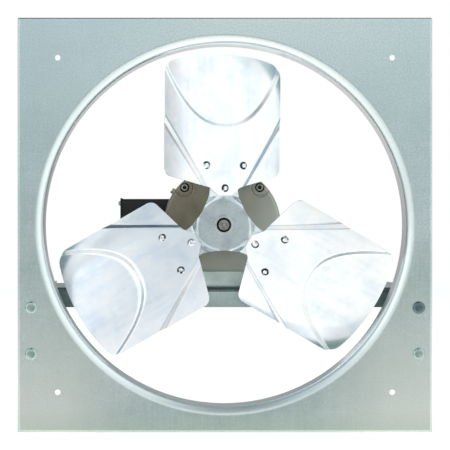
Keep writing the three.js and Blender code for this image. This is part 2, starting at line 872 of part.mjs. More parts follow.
function makeTerminalCover() {
  const half = boxHeight / 2 + coverLip;
  const front = boxStart - coverLip;
  const rear = boxStart + boxLength + coverLip;
  const plate = block([-boxReach, front, -half], [-boxReach + coverSheet, rear, half]);
  const holes = coverScrewPlaces().map(({ y, z }) => {
    const drill = rodAlongX(coverScrewShank + fitGap, -boxReach - overrun, -boxReach + 2 * coverSheet);
    return drill.translate(0, y, z);
  });
  place(exhaustFan, 'terminal_box_cover', cut(plate, ...holes), blackPlastic);
  for (const { level, y, z } of coverScrewPlaces()) {
    const length = 4 * coverSheet;
    const screw = domeBolt(coverScrewHead, coverScrewHeight, coverScrewShank, length);
    const seat = [-boxReach - fitGap, y, z];
    place(exhaustFan, `cover_screw_${level}`, screw.rotateZ(-Math.PI / 2), zincPlated, seat);
  }
}

// The capacitor stands between the screw bosses of the terminal box.
function makeCapacitor() {
  const halfHeight = boxHeight / 2 - coverScrewInset - screwBossRadius() - capacitorMargin;
  const straight = halfHeight - capacitorWidth / 2;
  const can = new THREE.Shape();
  can.absarc(0, straight, capacitorWidth / 2, 0, Math.PI, false);
  can.absarc(0, -straight, capacitorWidth / 2, Math.PI, 2 * Math.PI, false);
  const backWall = shellRadius + fitGap + boxWall;
  const x = -backWall - fitGap - capacitorWidth / 2;
  const inset = boxWall + capacitorEndGap;
  const body = plateAcrossY(can, boxStart + inset, boxStart + boxLength - inset);
  place(exhaustFan, 'run_capacitor', body, capacitorCan, [x, 0, 0]);
}

function makeGroundScrew() {
  const length = shellSheet + groundScrewShank;
  const turn = groundScrewTurn();
  const across = 2 * groundScrewHead * Math.cos(Math.PI / hexFacets);
  const screw = hexBolt(across, groundScrewHeight, groundScrewShank, length);
  screw.rotateZ(Math.PI / 2).rotateY(-turn);
  const radius = shellRadius + fitGap;
  const y = shellFront + groundScrewSetback;
  const seat = [radius * Math.cos(turn), y, radius * Math.sin(turn)];
  place(exhaustFan, 'ground_screw', screw, greenScrew, seat);
}

const propeller = new THREE.Group();
propeller.position.set(0, propellerPlane, 0);
exhaustFan.add(propeller);

function makeShaft() {
  const front = -spiderSheet / 2 - fitGap - hubCollarHeight - shaftProud;
  const rear = shieldRear + bossReach - propellerPlane - shaftRearInset;
  place(propeller, 'shaft', rodAlongY(shaftRadius, front, rear, hubFacets), groundSteel);
}

function makeRotor() {
  const start = coreStart - rotorOverhang - propellerPlane;
  const end = coreEnd + rotorOverhang - propellerPlane;
  const body = turned([
    [shaftRadius + fitGap, start],
    [shaftRadius + fitGap, end],
    [coreBore - airGap, end],
    [coreBore - airGap, start],
  ]);
  place(propeller, 'rotor', body, darkSteel);
}

// The barrel stands behind the spider, and its front end is spread over it as a collar.
function makeHub() {
  const face = spiderSheet / 2 + fitGap;
  const front = -face - hubCollarHeight;
  const rear = hubRear - propellerPlane;
  const bore = shaftRadius + fitGap;
  const neck = spiderHole - fitGap;
  const collar = spiderHole + hubCollarOverlap;
  const recess = bore + hubRecessWidth;
  const body = turned(
    [
      [bore, front + hubRecessDepth],
      [bore, rear],
      [hubRadius, rear],
      [hubRadius, face],
      [neck, face],
      [neck, -face],
      [collar, -face],
      [(collar + neck) / 2, front],
      [recess, front],
      [recess, front + hubRecessDepth / 2],
    ],
    hubFacets,
  );
  const screwY = rear - setScrewSetback;
  const tapped = rodAlongZ(setScrewRadius + fitGap, 0, hubRadius + overrun).translate(0, screwY, 0);
  place(propeller, 'hub', cut(body, tapped), groundSteel);
  const screwEnd = hubRadius - bore - fitGap;
  const screw = rodAlongZ(setScrewRadius, -fitGap, screwEnd);
  const socket = rodAlongZ(setScrewRadius / 2, screwEnd - setScrewSocketDepth, hubRadius, hexFacets);
  place(propeller, 'set_screw', cut(screw, socket), darkSteel, [0, screwY, bore + fitGap / 2]);
}

// A closed sheet from rows of points: each point has a front and a back.
function sheetFromRows(rows) {
  const across = rows[0].length;
  const positions = [];
  for (const face of ['front', 'back']) {
    for (const row of rows) {
      for (const point of row) positions.push(...point[face]);
    }
  }
  const backStart = rows.length * across;
  const at = (row, column, start) => start + row * across + column;
  const index = [];
  const quad = (a, b, c, d) => index.push(a, b, c, a, c, d);
  for (let row = 0; row + 1 < rows.length; row += 1) {
    for (let column = 0; column + 1 < across; column += 1) {
      const corners = [
        [row, column],
        [row, column + 1],
        [row + 1, column + 1],
        [row + 1, column],
      ];
      quad(...corners.map(([r, c]) => at(r, c, 0)));
      quad(...corners.reverse().map(([r, c]) => at(r, c, backStart)));
    }
  }
  const last = rows.length - 1;
  const border = [];
  for (let column = 0; column < across - 1; column += 1) border.push([0, column]);
  for (let row = 0; row < last; row += 1) border.push([row, across - 1]);
  for (let column = across - 1; column > 0; column -= 1) border.push([last, column]);
  for (let row = last; row > 0; row -= 1) border.push([row, 0]);
  border.forEach(([row, column], place) => {
    const [nextRow, nextColumn] = border[(place + 1) % border.length];
    quad(
      at(nextRow, nextColumn, 0),
      at(row, column, 0),
      at(row, column, backStart),
      at(nextRow, nextColumn, backStart),
    );
  });
  const geometry = new THREE.BufferGeometry();
  geometry.setAttribute('position', new THREE.Float32BufferAttribute(positions, 3));
  geometry.setIndex(index);
  return geometry;
}

// Half the width of a spider arm at a height above the axis.
function spiderHalfWidth(height) {
  const curveCentre = spiderWebRadius + spiderCurveRadius;
  const along = curveCentre * Math.cos(Math.PI / bladeCount);
  const away = curveCentre * Math.sin(Math.PI / bladeCount);
  return away - Math.sqrt(spiderCurveRadius ** 2 - (height - along) ** 2);
}

function spiderTwist(height) {
  const run = (height - spiderFlatRadius) / (spiderTwistEnd - spiderFlatRadius);
  return radians(pitch) * THREE.MathUtils.clamp(run, 0, 1);
}

function spiderArm() {
  const webEdge = spiderWebRadius * Math.cos(Math.PI / bladeCount);
  const inner = webEdge - spiderSheet;
  const bendMiddle = (spiderFlatRadius + spiderTwistEnd) / 2;
  const curved = [
    webEdge,
    (webEdge + spiderFlatRadius) / 2,
    spiderFlatRadius,
    bendMiddle,
    spiderTwistEnd,
    (spiderTwistEnd + spiderPadStart) / 2,
    spiderPadStart,
  ];
  const outline = [[inner, spiderHalfWidth(webEdge) - 2 * spiderSheet]];
  for (const height of curved) outline.push([height, spiderHalfWidth(height)]);
  const padEnd = spiderPadShoulder + spiderPadLength;
  outline.push([spiderPadShoulder, spiderPadHalfWidth]);
  outline.push([padEnd - spiderSheet, spiderPadHalfWidth]);
  outline.push([padEnd, spiderPadEndHalfWidth]);
  const rows = outline.map(([height, half]) => {
    const twist = spiderTwist(height);
    return [-half, 0, half].map((across) => sheetPoint(across, height, spiderSheet / 2, twist));
  });
  return sheetFromRows(rows);
}

// A point of a sheet that is turned about its own radial line, with its two faces.
function sheetPoint(across, height, halfSheet, twist) {
  const x = across * Math.cos(twist);
  const y = across * Math.sin(twist);
  const normal = [-Math.sin(twist), Math.cos(twist)];
  return {
    front: [x - halfSheet * normal[0], y - halfSheet * normal[1], height],
    back: [x + halfSheet * normal[0], y + halfSheet * normal[1], height],
  };
}

function makeSpider() {
  const web = new THREE.Shape();
  for (let corner = 0; corner < bladeCount; corner += 1) {
    const angle = -Math.PI / 2 + (2 * Math.PI * corner) / bladeCount;
    const point = [spiderWebRadius * Math.cos(angle), spiderWebRadius * Math.sin(angle)];
    if (corner === 0) web.moveTo(...point);
    else web.lineTo(...point);
  }
  const arms = bladeTurns().map((turn) => spiderArm().rotateY(turn));
  const body = join(plateAcrossY(web, -spiderSheet / 2, spiderSheet / 2), ...arms);
  const bore = rodAlongY(spiderHole, -spiderSheet, spiderSheet, hubFacets);
  const tools = bladeTurns().flatMap((turn) => {
    return rivetPlaces().map(({ across, height }) => {
      const reach = 2 * spiderSheet;
      const drill = rodAlongY(rivetShank + fitGap, -reach, reach, rivetFacets);
      return drill.translate(across, 0, height).rotateZ(radians(pitch)).rotateY(turn);
    });
  });
  place(propeller, 'spider', cut(body, bore, ...tools), platedSpider);
}

function bladeTurns() {
  return Array.from({ length: bladeCount }, (_, blade) => (-2 * Math.PI * blade) / bladeCount);
}

function rivetPlaces() {
  const side = spiderPadHalfWidth - outerRivetInset;
  const outer = spiderPadShoulder + outerRivetRise;
  return [
    { seat: 'inner', across: 0, height: bladeEnd + innerRivetRise },
    { seat: 'outer_left', across: -side, height: outer },
    { seat: 'outer_right', across: side, height: outer },
  ];
}

// How far a rounded corner pulls the outline in, near the sides of a blade.
function cornerPull(across, radius) {
  const into = Math.abs(across) - (bladeHalfWidth - radius);
  return into > 0 ? radius - Math.sqrt(Math.max(radius ** 2 - into ** 2, 0)) : 0;
}

function bladeFoot(across) {
  const half = Math.abs(across);
  const slope = (bladeShoulder - bladeNeck) / (bladeHalfWidth - bladeNeckHalfWidth);
  const throat = (bladeNeck - bladeEnd) / (bladeNeckHalfWidth - bladeEndHalfWidth);
  let foot = bladeEnd;
  if (half > bladeEndHalfWidth) foot = bladeEnd + throat * (half - bladeEndHalfWidth);
  if (half > bladeNeckHalfWidth) foot = bladeNeck + slope * (half - bladeNeckHalfWidth);
  return foot + cornerPull(across, bladeShoulderCorner);
}

function bladeTip(across) {
  const projected = across * Math.cos(radians(pitch));
  return Math.sqrt(tipRadius ** 2 - projected ** 2) - cornerPull(across, bladeTipCorner);
}

function tipJoggle(across) {
  const rise = tipJoggleRiseShare * Math.abs(across / bladeHalfWidth) ** tipJogglePower;
  return bladeEnd + bladeSpan * (tipJoggleShare + rise);
}

function sideJoggle(across) {
  const run = (Math.abs(across) - sideJoggleFoot) / (bladeHalfWidth - sideJoggleFoot);
  return bladeNeck + (bladeEnd + bladeSpan * sideJoggleTopShare - bladeNeck) * run;
}

function bladeColumns() {
  const columns = [0, bladeEndHalfWidth, bladeNeckHalfWidth, sweepStart];
  columns.push(sideJoggleFoot, sideJoggleFoot + joggleRun);
  columns.sort((one, other) => one - other);
  const side = bladeHalfWidth - bladeTipCorner;
  columns.push((2 * sweepStart + side) / 3, (sweepStart + 2 * side) / 3);
  for (let step = 0; step <= cornerFacets; step += 1) {
    columns.push(side + bladeTipCorner * Math.sin((Math.PI / 2) * (step / cornerFacets)));
  }
  const mirrored = columns.slice(1).map((across) => -across);
  return [...mirrored.reverse(), ...columns];
}

// The sides of the blade sweep back from its flat middle.
function bladeSweep(across) {
  const run = Math.max(Math.abs(across) - sweepStart, 0) / (bladeHalfWidth - sweepStart);
  return sweepBack * run ** 2;
}

// A blade: its middle is pressed forwards between the tip joggle and the two side joggles.
function makeBladeSheet() {
  const rows = [[], [], [], [], [], []];
  for (const across of bladeColumns()) {
    const foot = bladeFoot(across);
    const tip = bladeTip(across);
    const sideLine = Math.abs(across) > sideJoggleFoot ? sideJoggle(across) : foot;
    const drop = Math.abs(across) > sideJoggleFoot ? joggleDepth : 0;
    const lower = Math.max(sideLine - joggleRun / 2, foot + joggleRun / 2);
    const upper = lower + joggleRun;
    const tipLower = Math.min(tipJoggle(across), tip - 2 * joggleRun);
    const heights = [foot, lower, upper, tipLower, tipLower + joggleRun, tip];
    const drops = [drop, drop, 0, 0, joggleDepth, joggleDepth];
    heights.forEach((height, row) => {
      const y = bladeBack + bladeSweep(across) + drops[row];
      rows[row].push({ front: [across, y - bladeSheet, height], back: [across, y, height] });
    });
  }
  return sheetFromRows(rows);
}

function makeBlades() {
  const tools = rivetPlaces().map(({ across, height }) => {
    const drill = rodAlongY(rivetShank + fitGap, -4 * spiderSheet, spiderSheet, rivetFacets);
    return drill.translate(across, 0, height);
  });
  const blade = cut(makeBladeSheet(), ...tools);
  bladeTurns().forEach((turn, index) => {
    const around = new THREE.Group();
    around.rotation.y = turn;
    const pitched = new THREE.Group();
    pitched.rotation.z = radians(pitch);
    around.add(pitched);
    propeller.add(around);
    place(pitched, `blade_${index + 1}`, blade, aluminium);
    for (const { seat, across, height } of rivetPlaces()) {
      const name = `rivet_${index + 1}_${seat}`;
      place(pitched, name, makeRivet(), aluminium, [across, 0, height]);
    }
  });
}

// A rivet through a blade and an arm, with a low dome in front and a flat tail behind.
function makeRivet() {
  const front = bladeBack - bladeSheet - fitGap;
  const back = spiderSheet / 2 + fitGap;
  const points = [
    [0, front - rivetHeadHeight],
    [rivetHead * Math.SQRT1_2, front - rivetHeadHeight * Math.SQRT1_2],
    [rivetHead, front],
    [rivetShank, front],
    [rivetShank, back],
    [rivetTail, back],
    [rivetTail, back + rivetTailHeight],
    [0, back + rivetTailHeight],
  ].map(([radius, y]) => new THREE.Vector2(radius, y));
  return new THREE.LatheGeometry(points, rivetFacets);
}

makePanel();
makeArms();
makePanelBolts();
makeShelf();
makeShelfBolts();
makeMotorBase();
makeBaseBolts();
makeMotorCasing();
makeThroughBolts();
makeStatorCore();
makeWinding();
makeBearings();
makeTerminalBox();
makeTerminalCover();
makeCapacitor();
makeGroundScrew();
makeShaft();
makeRotor();
makeHub();
makeSpider();
makeBlades();

export default exhaustFan;
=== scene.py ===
import functools
import math
from collections import Counter

import bmesh
import bpy
from mathutils import Matrix, Vector
from mathutils.geometry import tessellate_polygon


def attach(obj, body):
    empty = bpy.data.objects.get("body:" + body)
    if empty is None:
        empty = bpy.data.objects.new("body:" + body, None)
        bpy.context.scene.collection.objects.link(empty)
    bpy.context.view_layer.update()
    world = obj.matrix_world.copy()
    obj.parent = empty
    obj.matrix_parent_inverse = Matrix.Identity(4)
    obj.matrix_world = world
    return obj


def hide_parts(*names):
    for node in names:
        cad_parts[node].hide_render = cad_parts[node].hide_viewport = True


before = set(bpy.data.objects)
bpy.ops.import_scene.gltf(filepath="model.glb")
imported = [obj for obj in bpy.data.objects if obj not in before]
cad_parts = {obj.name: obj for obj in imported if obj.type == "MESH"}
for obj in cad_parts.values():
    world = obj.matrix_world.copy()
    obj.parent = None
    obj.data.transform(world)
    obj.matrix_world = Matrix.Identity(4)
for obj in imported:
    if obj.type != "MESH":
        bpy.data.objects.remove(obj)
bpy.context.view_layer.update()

# Sizes are in millimetres and turns in degrees. Where the CAD model has them, they repeat its values.
# Meshes are made in metres.
MM = 0.001
FIT_GAP = 0.3

# Panel with its venturi
PANEL_SIDE = 482.6
PANEL_SHEET = 1.5
PANEL_DEPTH = 38
PANEL_BEND = 2.5
PANEL_MARGIN = 19.8
BELL_RADIUS = 10
BELL_BOWL = 7.6
BELL_CREASE = 9
BELL_TURN = 42
BELL_SEGMENTS = 180
THROAT_DEPTH = 37
CORNER_HOLE_INSET = 46.8
CORNER_HOLE_RADIUS = 3.3
CORNER_SLIT = 0.35
FLAT_EDGE = 0.8
SIDE_POINTS = 24

# Arms, shelf and base of the motor
ARM_SHEET = 2.5
ARM_BEND = 3
ARM_TOP_RISE = 6.5
ARM_FOOT_EDGE = 16
ARM_INSIDE = 214.3
ARM_OUTSIDE = 238.3
SHELF_FRONT = 88.0
SHELF_REAR = 236.0
SHELF_TOP = -76.5
SHELF_HEIGHT = 24
SHELF_SHEET = 2
SHELF_BEND = 3
SHELF_BOLT_INSET = 26
SHELF_BOLT_DROP = 13
# The painted shade along the shelf's top front edge reaches down to this height.
PAINTED_SHADE_FOOT = SHELF_TOP - 5.4
BASE_FRONT = 94.0
BASE_REAR = 230.0
BASE_UNDERSIDE = -76.2
BASE_SHEET = 2.5
BASE_WIDTH = 134
BASE_FLANGE = 19
BASE_BEND = 2.5
SADDLE_SPREAD = 34
SADDLE_SHEET = 3
BASE_BOLT_INSET = 13
BASE_BOLT_SPACING = 70

# Fasteners
PANEL_BOLT_SHANK = 3.1
PANEL_BOLT_HEAD = 7.3
PANEL_BOLT_DOME = 3.4
PANEL_BOLT_DROP = 19.5
PANEL_BOLT_SPACING = 54
PANEL_BOLT_X = 225.31
PANEL_NUT_ACROSS = 11.1
PANEL_NUT_HEIGHT = 5.5
M6_SHANK = 3
M6_ACROSS = 11
M6_HEAD = 4
M6_PITCH = 1.0

# Motor casing
SHELL_RADIUS = 71.6
SHELL_SHEET = 2
SHELL_FRONT = 112.3
SHELL_REAR = 210.3
SHELL_BEAD_INSET = 16
SHELL_BEAD_WIDTH = 4
SHELL_BEAD_DEPTH = 0.9
SEAM_HALF_WIDTH = 3.5
SEAM_HEIGHT = 0.35
SHIELD_RADIUS = 72.2
SHIELD_FRONT = 98.0
SHIELD_REAR = 224.6
SHIELD_DEPTH = 14
SHIELD_SHEET = 3
SHIELD_ROUND = 4
SHIELD_GROOVE = (27.5, 30)
SHIELD_GROOVE_DEPTH = 0.9
POCKET_RING = 11
POCKET_RING_WIDTH = 3.2
POCKET_RING_DEPTH = 1.5
BOSS_RADIUS = 21
BOSS_REACH = 7
SHAFT_HOLE = 7.6
BEARING_OUTER = 17.5
BEARING_WIDTH = 11
BOLT_OFFSET = 46.24
BOLT_POCKET = 5.9
BOLT_POCKET_DEPTH = 3.4
THROUGH_BOLT_SHANK = 2.2
THROUGH_BOLT_HEAD = 4.9
THROUGH_BOLT_HEAD_HEIGHT = 3
THROUGH_BOLT_SOCKET = 1.9

# Terminal box and ground screw
BOX_REACH = 126
BOX_HALF_HEIGHT = 32.5
BOX_FRONT = 119.3
BOX_REAR = 203.3
BOX_WALL = 2
BOX_CORNER = 4
BOX_ROOT = 76
COVER_SHEET = 2
COVER_LIP = 1.2
COVER_RECESS_DEPTH = 0.4
COVER_RECESS_INSET = (16, 12)
COVER_SCREW_HEAD = 2.9
COVER_SCREW_HEIGHT = 2.8
COVER_SCREW_SHANK = 1.6
COVER_SCREW_SETBACK = 9
COVER_SCREW_Z = 27
GROUND_SCREW_TURN = 145
GROUND_SCREW_HEAD = 4
GROUND_SCREW_HEIGHT = 4
GROUND_SCREW_SHANK = 2
GROUND_SCREW_Y = 121.3

# Propeller
BLADE_COUNT = 3
PROPELLER_PLANE = 42
PITCH = 22
BLADE_HALF_WIDTH = 75
BLADE_SHEET = 1.6
BLADE_END = 35.2
BLADE_NECK = 44.7
BLADE_SHOULDER = 59.5
BLADE_END_HALF_WIDTH = 8
BLADE_NECK_HALF_WIDTH = 20
BLADE_TIP_CORNER = 13
BLADE_SHOULDER_CORNER = 8
BLADE_BACK = -1.8
TIP_RADIUS = 203.2
JOGGLE_DEPTH = 2.4
JOGGLE_RUN = 5.4
TIP_JOGGLE_SHARE = 0.482
TIP_JOGGLE_RISE_SHARE = 0.399
TIP_JOGGLE_POWER = 2.4
SIDE_JOGGLE_FOOT = 25
SIDE_JOGGLE_TOP = 124
SWEEP_BACK = 3.5
SWEEP_START = 30
SPIDER_SHEET = 3
SPIDER_WEB_RADIUS = 30.4
SPIDER_CURVE_RADIUS = 67.8
SPIDER_FLAT_RADIUS = 27
SPIDER_TWIST_RUN = 8
SPIDER_PAD_START = 56
SPIDER_PAD_SHOULDER = 62
SPIDER_PAD_END = 84
SPIDER_PAD_HALF_WIDTH = 30
SPIDER_PAD_CORNER = 6
SPIDER_HOLE = 10.3
RIVET_SHANK = 2.5
RIVET_HEAD = 4.9
RIVET_HEAD_HEIGHT = 2
RIVET_TAIL = 4
RIVET_TAIL_HEIGHT = 1.6
INNER_RIVET = (0, 43.8)
OUTER_RIVET = (23.9, 70.9)
HUB_RADIUS = 16
HUB_REAR = 32
HUB_COLLAR = 12.1
HUB_NECK = 10
HUB_COLLAR_HEIGHT = 4
HUB_RECESS = 8.6
HUB_RECESS_DEPTH = 2.5
SET_SCREW_RADIUS = 3
SET_SCREW_Y = 20
SHAFT_RADIUS = 6.35
SHAFT_FRONT = -7.8
SHAFT_REAR = 187.6

# Camera and stage, in metres
CAMERA_DISTANCE = 1.7
CAMERA_ASIDE = -0.06
FOCAL_LENGTH = 117
SENSOR = 36
FLOOR_DROP = 0.0004
FLOOR_HALF = 4.0
LAMP_SIZE = 1.6

# The room that gloss reflects: directions from the object, and levels of light where 1 is white
WORLD_LIGHT = 0.5
DARK_SPOTS = [((-0.18, 0.1, 0.98), 0.17), ((-0.72, 0.08, 0.69), 0.25), ((-0.18, 0.04, -0.98), 0.36)]
BLUE_SPOT = (-0.46, 0.1, 0.88)
BLUE_LEVEL = 0.17
CAMERA_SPOT = (0, -0.985, -0.17)
CAMERA_LOW_LEVEL = 0.27
CAMERA_HIGH_LEVEL = 1.0
OVERHEAD_LEVEL = 0.3
AROUND_LOW_LEVEL = 1.0
AROUND_HIGH_LEVEL = 0.1
UNDER_LEVEL = 0.4
BEHIND_LEVEL = 0.3
RIGHT_LEVEL = 1.22
RIGHT_SHADE_LEVEL = 0.62
DIMMED_LEVEL = 0.85
FLOOR_LEVEL = 1.14
FOOT_LEVEL = 1.7
BELL_FOOT_LEVEL = 0.78

HALF_PANEL = PANEL_SIDE / 2
THROAT_RADIUS = HALF_PANEL - PANEL_MARGIN - BELL_RADIUS
ROLL_RADIUS = THROAT_RADIUS + BELL_RADIUS
SHEET_START = PANEL_SHEET + FIT_GAP
SIDES = (("left", -1), ("right", 1))


# Node building blocks for the finishes and the room

def rgba(colour):
    return (*colour, 1) if isinstance(colour, tuple) else colour


def scaled(colour, share):
    return tuple(min(share * part, 0.95) for part in colour)


class Tree:
    """A node tree, with short calls that each add a node and return its output."""

    ramp = "LINEAR"

    def __init__(self, owner):
        owner.use_nodes = True
        self.nodes = owner.node_tree.nodes
        self.links = owner.node_tree.links

    def add(self, kind, inputs, output=0, **settings):
        """A node whose inputs, by name or number, are set to values or linked to other nodes' outputs."""
        node = self.nodes.new("ShaderNode" + kind)
        for name, value in settings.items():
            setattr(node, name, value)
        for name, value in inputs.items():
            if isinstance(value, bpy.types.NodeSocket):
                self.links.new(value, node.inputs[name])
            else:
                node.inputs[name].default_value = value
        return node.outputs[output] if node.outputs else None

    def axes(self, vector):
        """The three parts of a vector."""
        split = self.nodes.new("ShaderNodeSeparateXYZ")
        self.links.new(vector, split.inputs["Vector"])
        return tuple(split.outputs)

    def between(self, level, low, high, low_at=0.3, high_at=0.7):
        """The level, taken from low_at..high_at to low..high."""
        return self.add("MapRange", {
            "Value": level, "From Min": low_at, "From Max": high_at, "To Min": low, "To Max": high,
        }, interpolation_type=self.ramp)

    def combined(self, kind, *levels):
        """The levels taken together by one operation, such as MULTIPLY or MAXIMUM."""
        return functools.reduce(lambda one, other: self.add("Math", {0: one, 1: other}, operation=kind), levels)

    def product(self, *levels):
        return self.combined("MULTIPLY", *levels)

    def sum(self, first, second, share=1.0):
        """The first level and a share of the second."""
        return self.add("Math", {0: second, 1: share, 2: first}, operation="MULTIPLY_ADD")

    def patch(self, *edges, peak=1.0):
        """The peak inside all the edges, and nothing outside them. Each edge is (level, outside, inside)."""
        (level, outside, inside), *others = edges
        shares = [self.between(level, 0, peak, outside, inside)]
        shares += [self.between(level, 0, 1, outside, inside) for level, outside, inside in others]
        return self.product(*shares)

    def blend(self, level, first, second):
        """The first colour where the level is 0, and the second where it is 1."""
        return self.add("Mix", {"Factor": level, 6: rgba(first), 7: rgba(second)}, 2, data_type="RGBA")


class Finish(Tree):
    """A material with one principled shader, laid out over the object's own coordinates, in metres."""

    def __init__(self, name, metallic, coat=0.0):
        self.material = bpy.data.materials.new(name)
        super().__init__(self.material)
        self.shader = self.nodes["Principled BSDF"]
        self.shader.inputs["Metallic"].default_value = metallic
        self.shader.inputs["Coat Weight"].default_value = coat
        self.place = self.add("TexCoord", {}, "Object")
        self.x, self.y, self.z = self.axes(self.place)

    def stretched(self, scale, turn=(0, 0, 0)):
        return self.add("Mapping", {"Vector": self.place, "Scale": scale, "Rotation": turn})

    def away_from_axis(self):
        """The distance from the object's Y axis, in metres."""
        return self.add("VectorMath", {0: self.stretched((1, 0, 1))}, "Value", operation="LENGTH")

    def noise(self, size, place=None, detail=3.0, rough=0.5):
        """Clouds whose blotches are about as wide as the size, in metres."""
        return self.add("TexNoise", {
            "Vector": place or self.place, "Scale": 1 / size, "Detail": detail, "Roughness": rough,
        }, "Fac")

    def own_noise(self, size):
        """Clouds that differ from one object to the next."""
        each = self.add("ObjectInfo", {}, "Random")
        seed = self.sum(self.product(each, each), each, 40.0)
        return self.add(
            "TexNoise", {"Vector": self.place, "Scale": 1 / size, "W": seed}, "Fac", noise_dimensions="4D"
        )

    def cells(self, size):
        """Flat cells about as wide as the size, in metres, each with one random level."""
        cell = self.add("TexVoronoi", {"Vector": self.place, "Scale": 1 / size}, "Color")
        return self.add("SeparateColor", {"Color": cell}, "Red")

    def colours(self, level, stops):
        """A colour ramp over the level, from (place, colour) stops."""
        node = self.nodes.new("ShaderNodeValToRGB")
        ramp = node.color_ramp.elements
        while len(ramp) < len(stops):
            ramp.new(0.5)
        for element, (at, colour) in zip(ramp, stops):
            element.position = at
            element.color = rgba(colour)
        self.links.new(level, node.inputs["Fac"])
        return node.outputs["Color"]

    def shades(self, level, colour, shares, low_at=0.3, high_at=0.7):
        """The colour times each share in turn, as the level goes from low_at to high_at."""
        stops = [(index / (len(shares) - 1), scaled(colour, share)) for index, share in enumerate(shares)]
        return self.colours(self.between(level, 0, 1, low_at, high_at), stops)

    def relief(self, level, height):
        """Bumps of the given height in metres."""
        return self.add("Bump", {"Distance": height, "Height": level})

    def done(self, colour, roughness, normal):
        for name, output in (("Base Color", colour), ("Roughness", roughness), ("Normal", normal)):
            self.links.new(output, self.shader.inputs[name])
        return self.material


def panel_tones(finish):
    """Painted light on the panel: painted shade at its upper left, painted highlights at its top and low corners, a
    bluer painted reflection towards the top, and a greener band along its foot.

    Over its specks lie a pale painted highlight on the bell mouth, which also hides the specks there, and a still
    paler painted highlight on the wall of the throat.
    """
    x, y, z = finish.x, finish.y, finish.z
    away = finish.away_from_axis()
    # Painted shade at the upper left, painted highlights at the top and low corners, and a bluer painted reflection
    # towards the top.
    shaded_left_top = finish.patch((x, -0.06, -0.2), (z, 0.06, 0.2), peak=0.45)
    middle = finish.product(finish.between(x, 0, 1, -0.15, 0.02), finish.between(x, 1, 0.3, 0.08, 0.2))
    top = finish.product(middle, finish.between(z, 0, 0.7, 0.13, 0.22))
    lit_low_corners = finish.patch((finish.product(x, x), 0.008, 0.035), (z, -0.05, -0.21), peak=0.9)
    under = [
        (shaded_left_top, (0.36, 0.5, 0.51)),
        (finish.sum(top, lit_low_corners), (0.95, 1.0, 0.95)),
        (finish.patch((z, -0.215, -0.24), peak=0.5), (0.7, 0.84, 0.7)),
        (finish.patch((z, -0.04, 0.16), peak=0.5), (0.71, 0.85, 0.92)),
    ]
    # Painted highlights: a pale bell mouth and a paler throat wall.
    bell_highlight = finish.patch(
        (away, (ROLL_RADIUS + 2) * MM, (ROLL_RADIUS - 7) * MM),
        (away, (THROAT_RADIUS - 2) * MM, THROAT_RADIUS * MM), peak=0.8,
    )
    wall = finish.patch((away, (THROAT_RADIUS + 3) * MM, (THROAT_RADIUS + 1) * MM), (y, 0.007, 0.012))
    return under, [(bell_highlight, (0.86, 0.94, 0.94)), (wall, (0.95, 0.97, 0.97))]


def shelf_tones(finish):
    """The shelf is darkened all over by painted shade. Further painted shade darkens it along the top front edge,
    under the motor base, and at the ends of its front face.
    """
    x, y, z = finish.x, finish.y, finish.z
    ends = finish.patch((finish.product(x, x), 0.014, 0.023), peak=0.7)
    edge = finish.patch((z, PAINTED_SHADE_FOOT * MM, (PAINTED_SHADE_FOOT + 0.6) * MM), peak=0.85)
    # Painted shade: darkest along the top front edge and at the ends of the front face.
    painted_shade = finish.product(
        finish.between(finish.sum(ends, edge), 0, 0.85, 0, 0.85),
        finish.patch((y, (SHELF_FRONT + 5) * MM, (SHELF_FRONT + 3) * MM)),
    )
    return [(0.35, (0.27, 0.37, 0.33)), (painted_shade, (0.05, 0.07, 0.065))], []


def galvanised(name, tones):
    """Spangled zinc with fine dark specks that thin out downwards, and tones that lie under and over the specks."""
    finish = Finish(name, 0.95)
    spangle = finish.cells(0.003)
    grain = finish.noise(0.0026, rough=0.6)
    level = finish.noise(0.13, finish.stretched((1, 1, 1), (0, 2, 0)), detail=2)
    across, upright = (finish.noise(0.02, finish.stretched(scale)) for scale in ((0.4, 8, 8), (8, 8, 0.4)))
    for part, share in (
        (grain, 0.5), (finish.noise(0.014), 0.3), (across, 0.2), (upright, 0.3), (spangle, 0.06),
    ):
        level = finish.sum(level, part, share)
    colour = finish.colours(
        finish.between(level, 0, 1, 0.97, 1.4),
        [(0, (0.53, 0.66, 0.645)), (0.5, (0.645, 0.77, 0.765)), (1, (0.775, 0.885, 0.895))],
    )
    olive = finish.patch((finish.noise(0.05, detail=2), 0.5, 0.75), peak=0.5)
    specks = finish.product(
        finish.patch((finish.noise(0.0019, detail=2), 0.6, 0.38), peak=0.42),
        finish.between(finish.z, 0.3, 1, -0.15, 0.1),
    )
    under, over = tones(finish)
    for share, tone in [(olive, (0.62, 0.73, 0.665)), *under, (specks, (0.46, 0.58, 0.59)), *over]:
        colour = finish.blend(share, colour, tone)
    rough = finish.between(finish.sum(grain, spangle, 0.1), 0.28, 0.35, 0.3, 0.8)
    return finish.done(colour, rough, finish.relief(grain, 0.000006))


def aluminium():
    """Rolled sheet, streaked along the blade."""
    finish = Finish("blade_aluminium_sheet", 0.95)
    streaks = finish.noise(0.03, finish.stretched((5, 5, 0.5)), detail=4)
    fine = finish.noise(0.003, finish.stretched((5, 5, 0.4)))
    smudges = finish.noise(0.012)
    level = finish.sum(finish.sum(finish.noise(0.045, rough=0.6), smudges, 0.35), streaks, 0.25)
    colour = finish.colours(
        finish.between(level, 0, 1, 0.62, 1.0),
        [(0, (0.72, 0.80, 0.88)), (0.45, (0.84, 0.885, 0.925)), (1, (0.93, 0.945, 0.955))],
    )
    rough = finish.between(finish.sum(fine, smudges, 0.8), 0.13, 0.24, 0.6, 1.2)
    return finish.done(colour, rough, finish.relief(finish.sum(fine, smudges, 0.6), 0.00001))


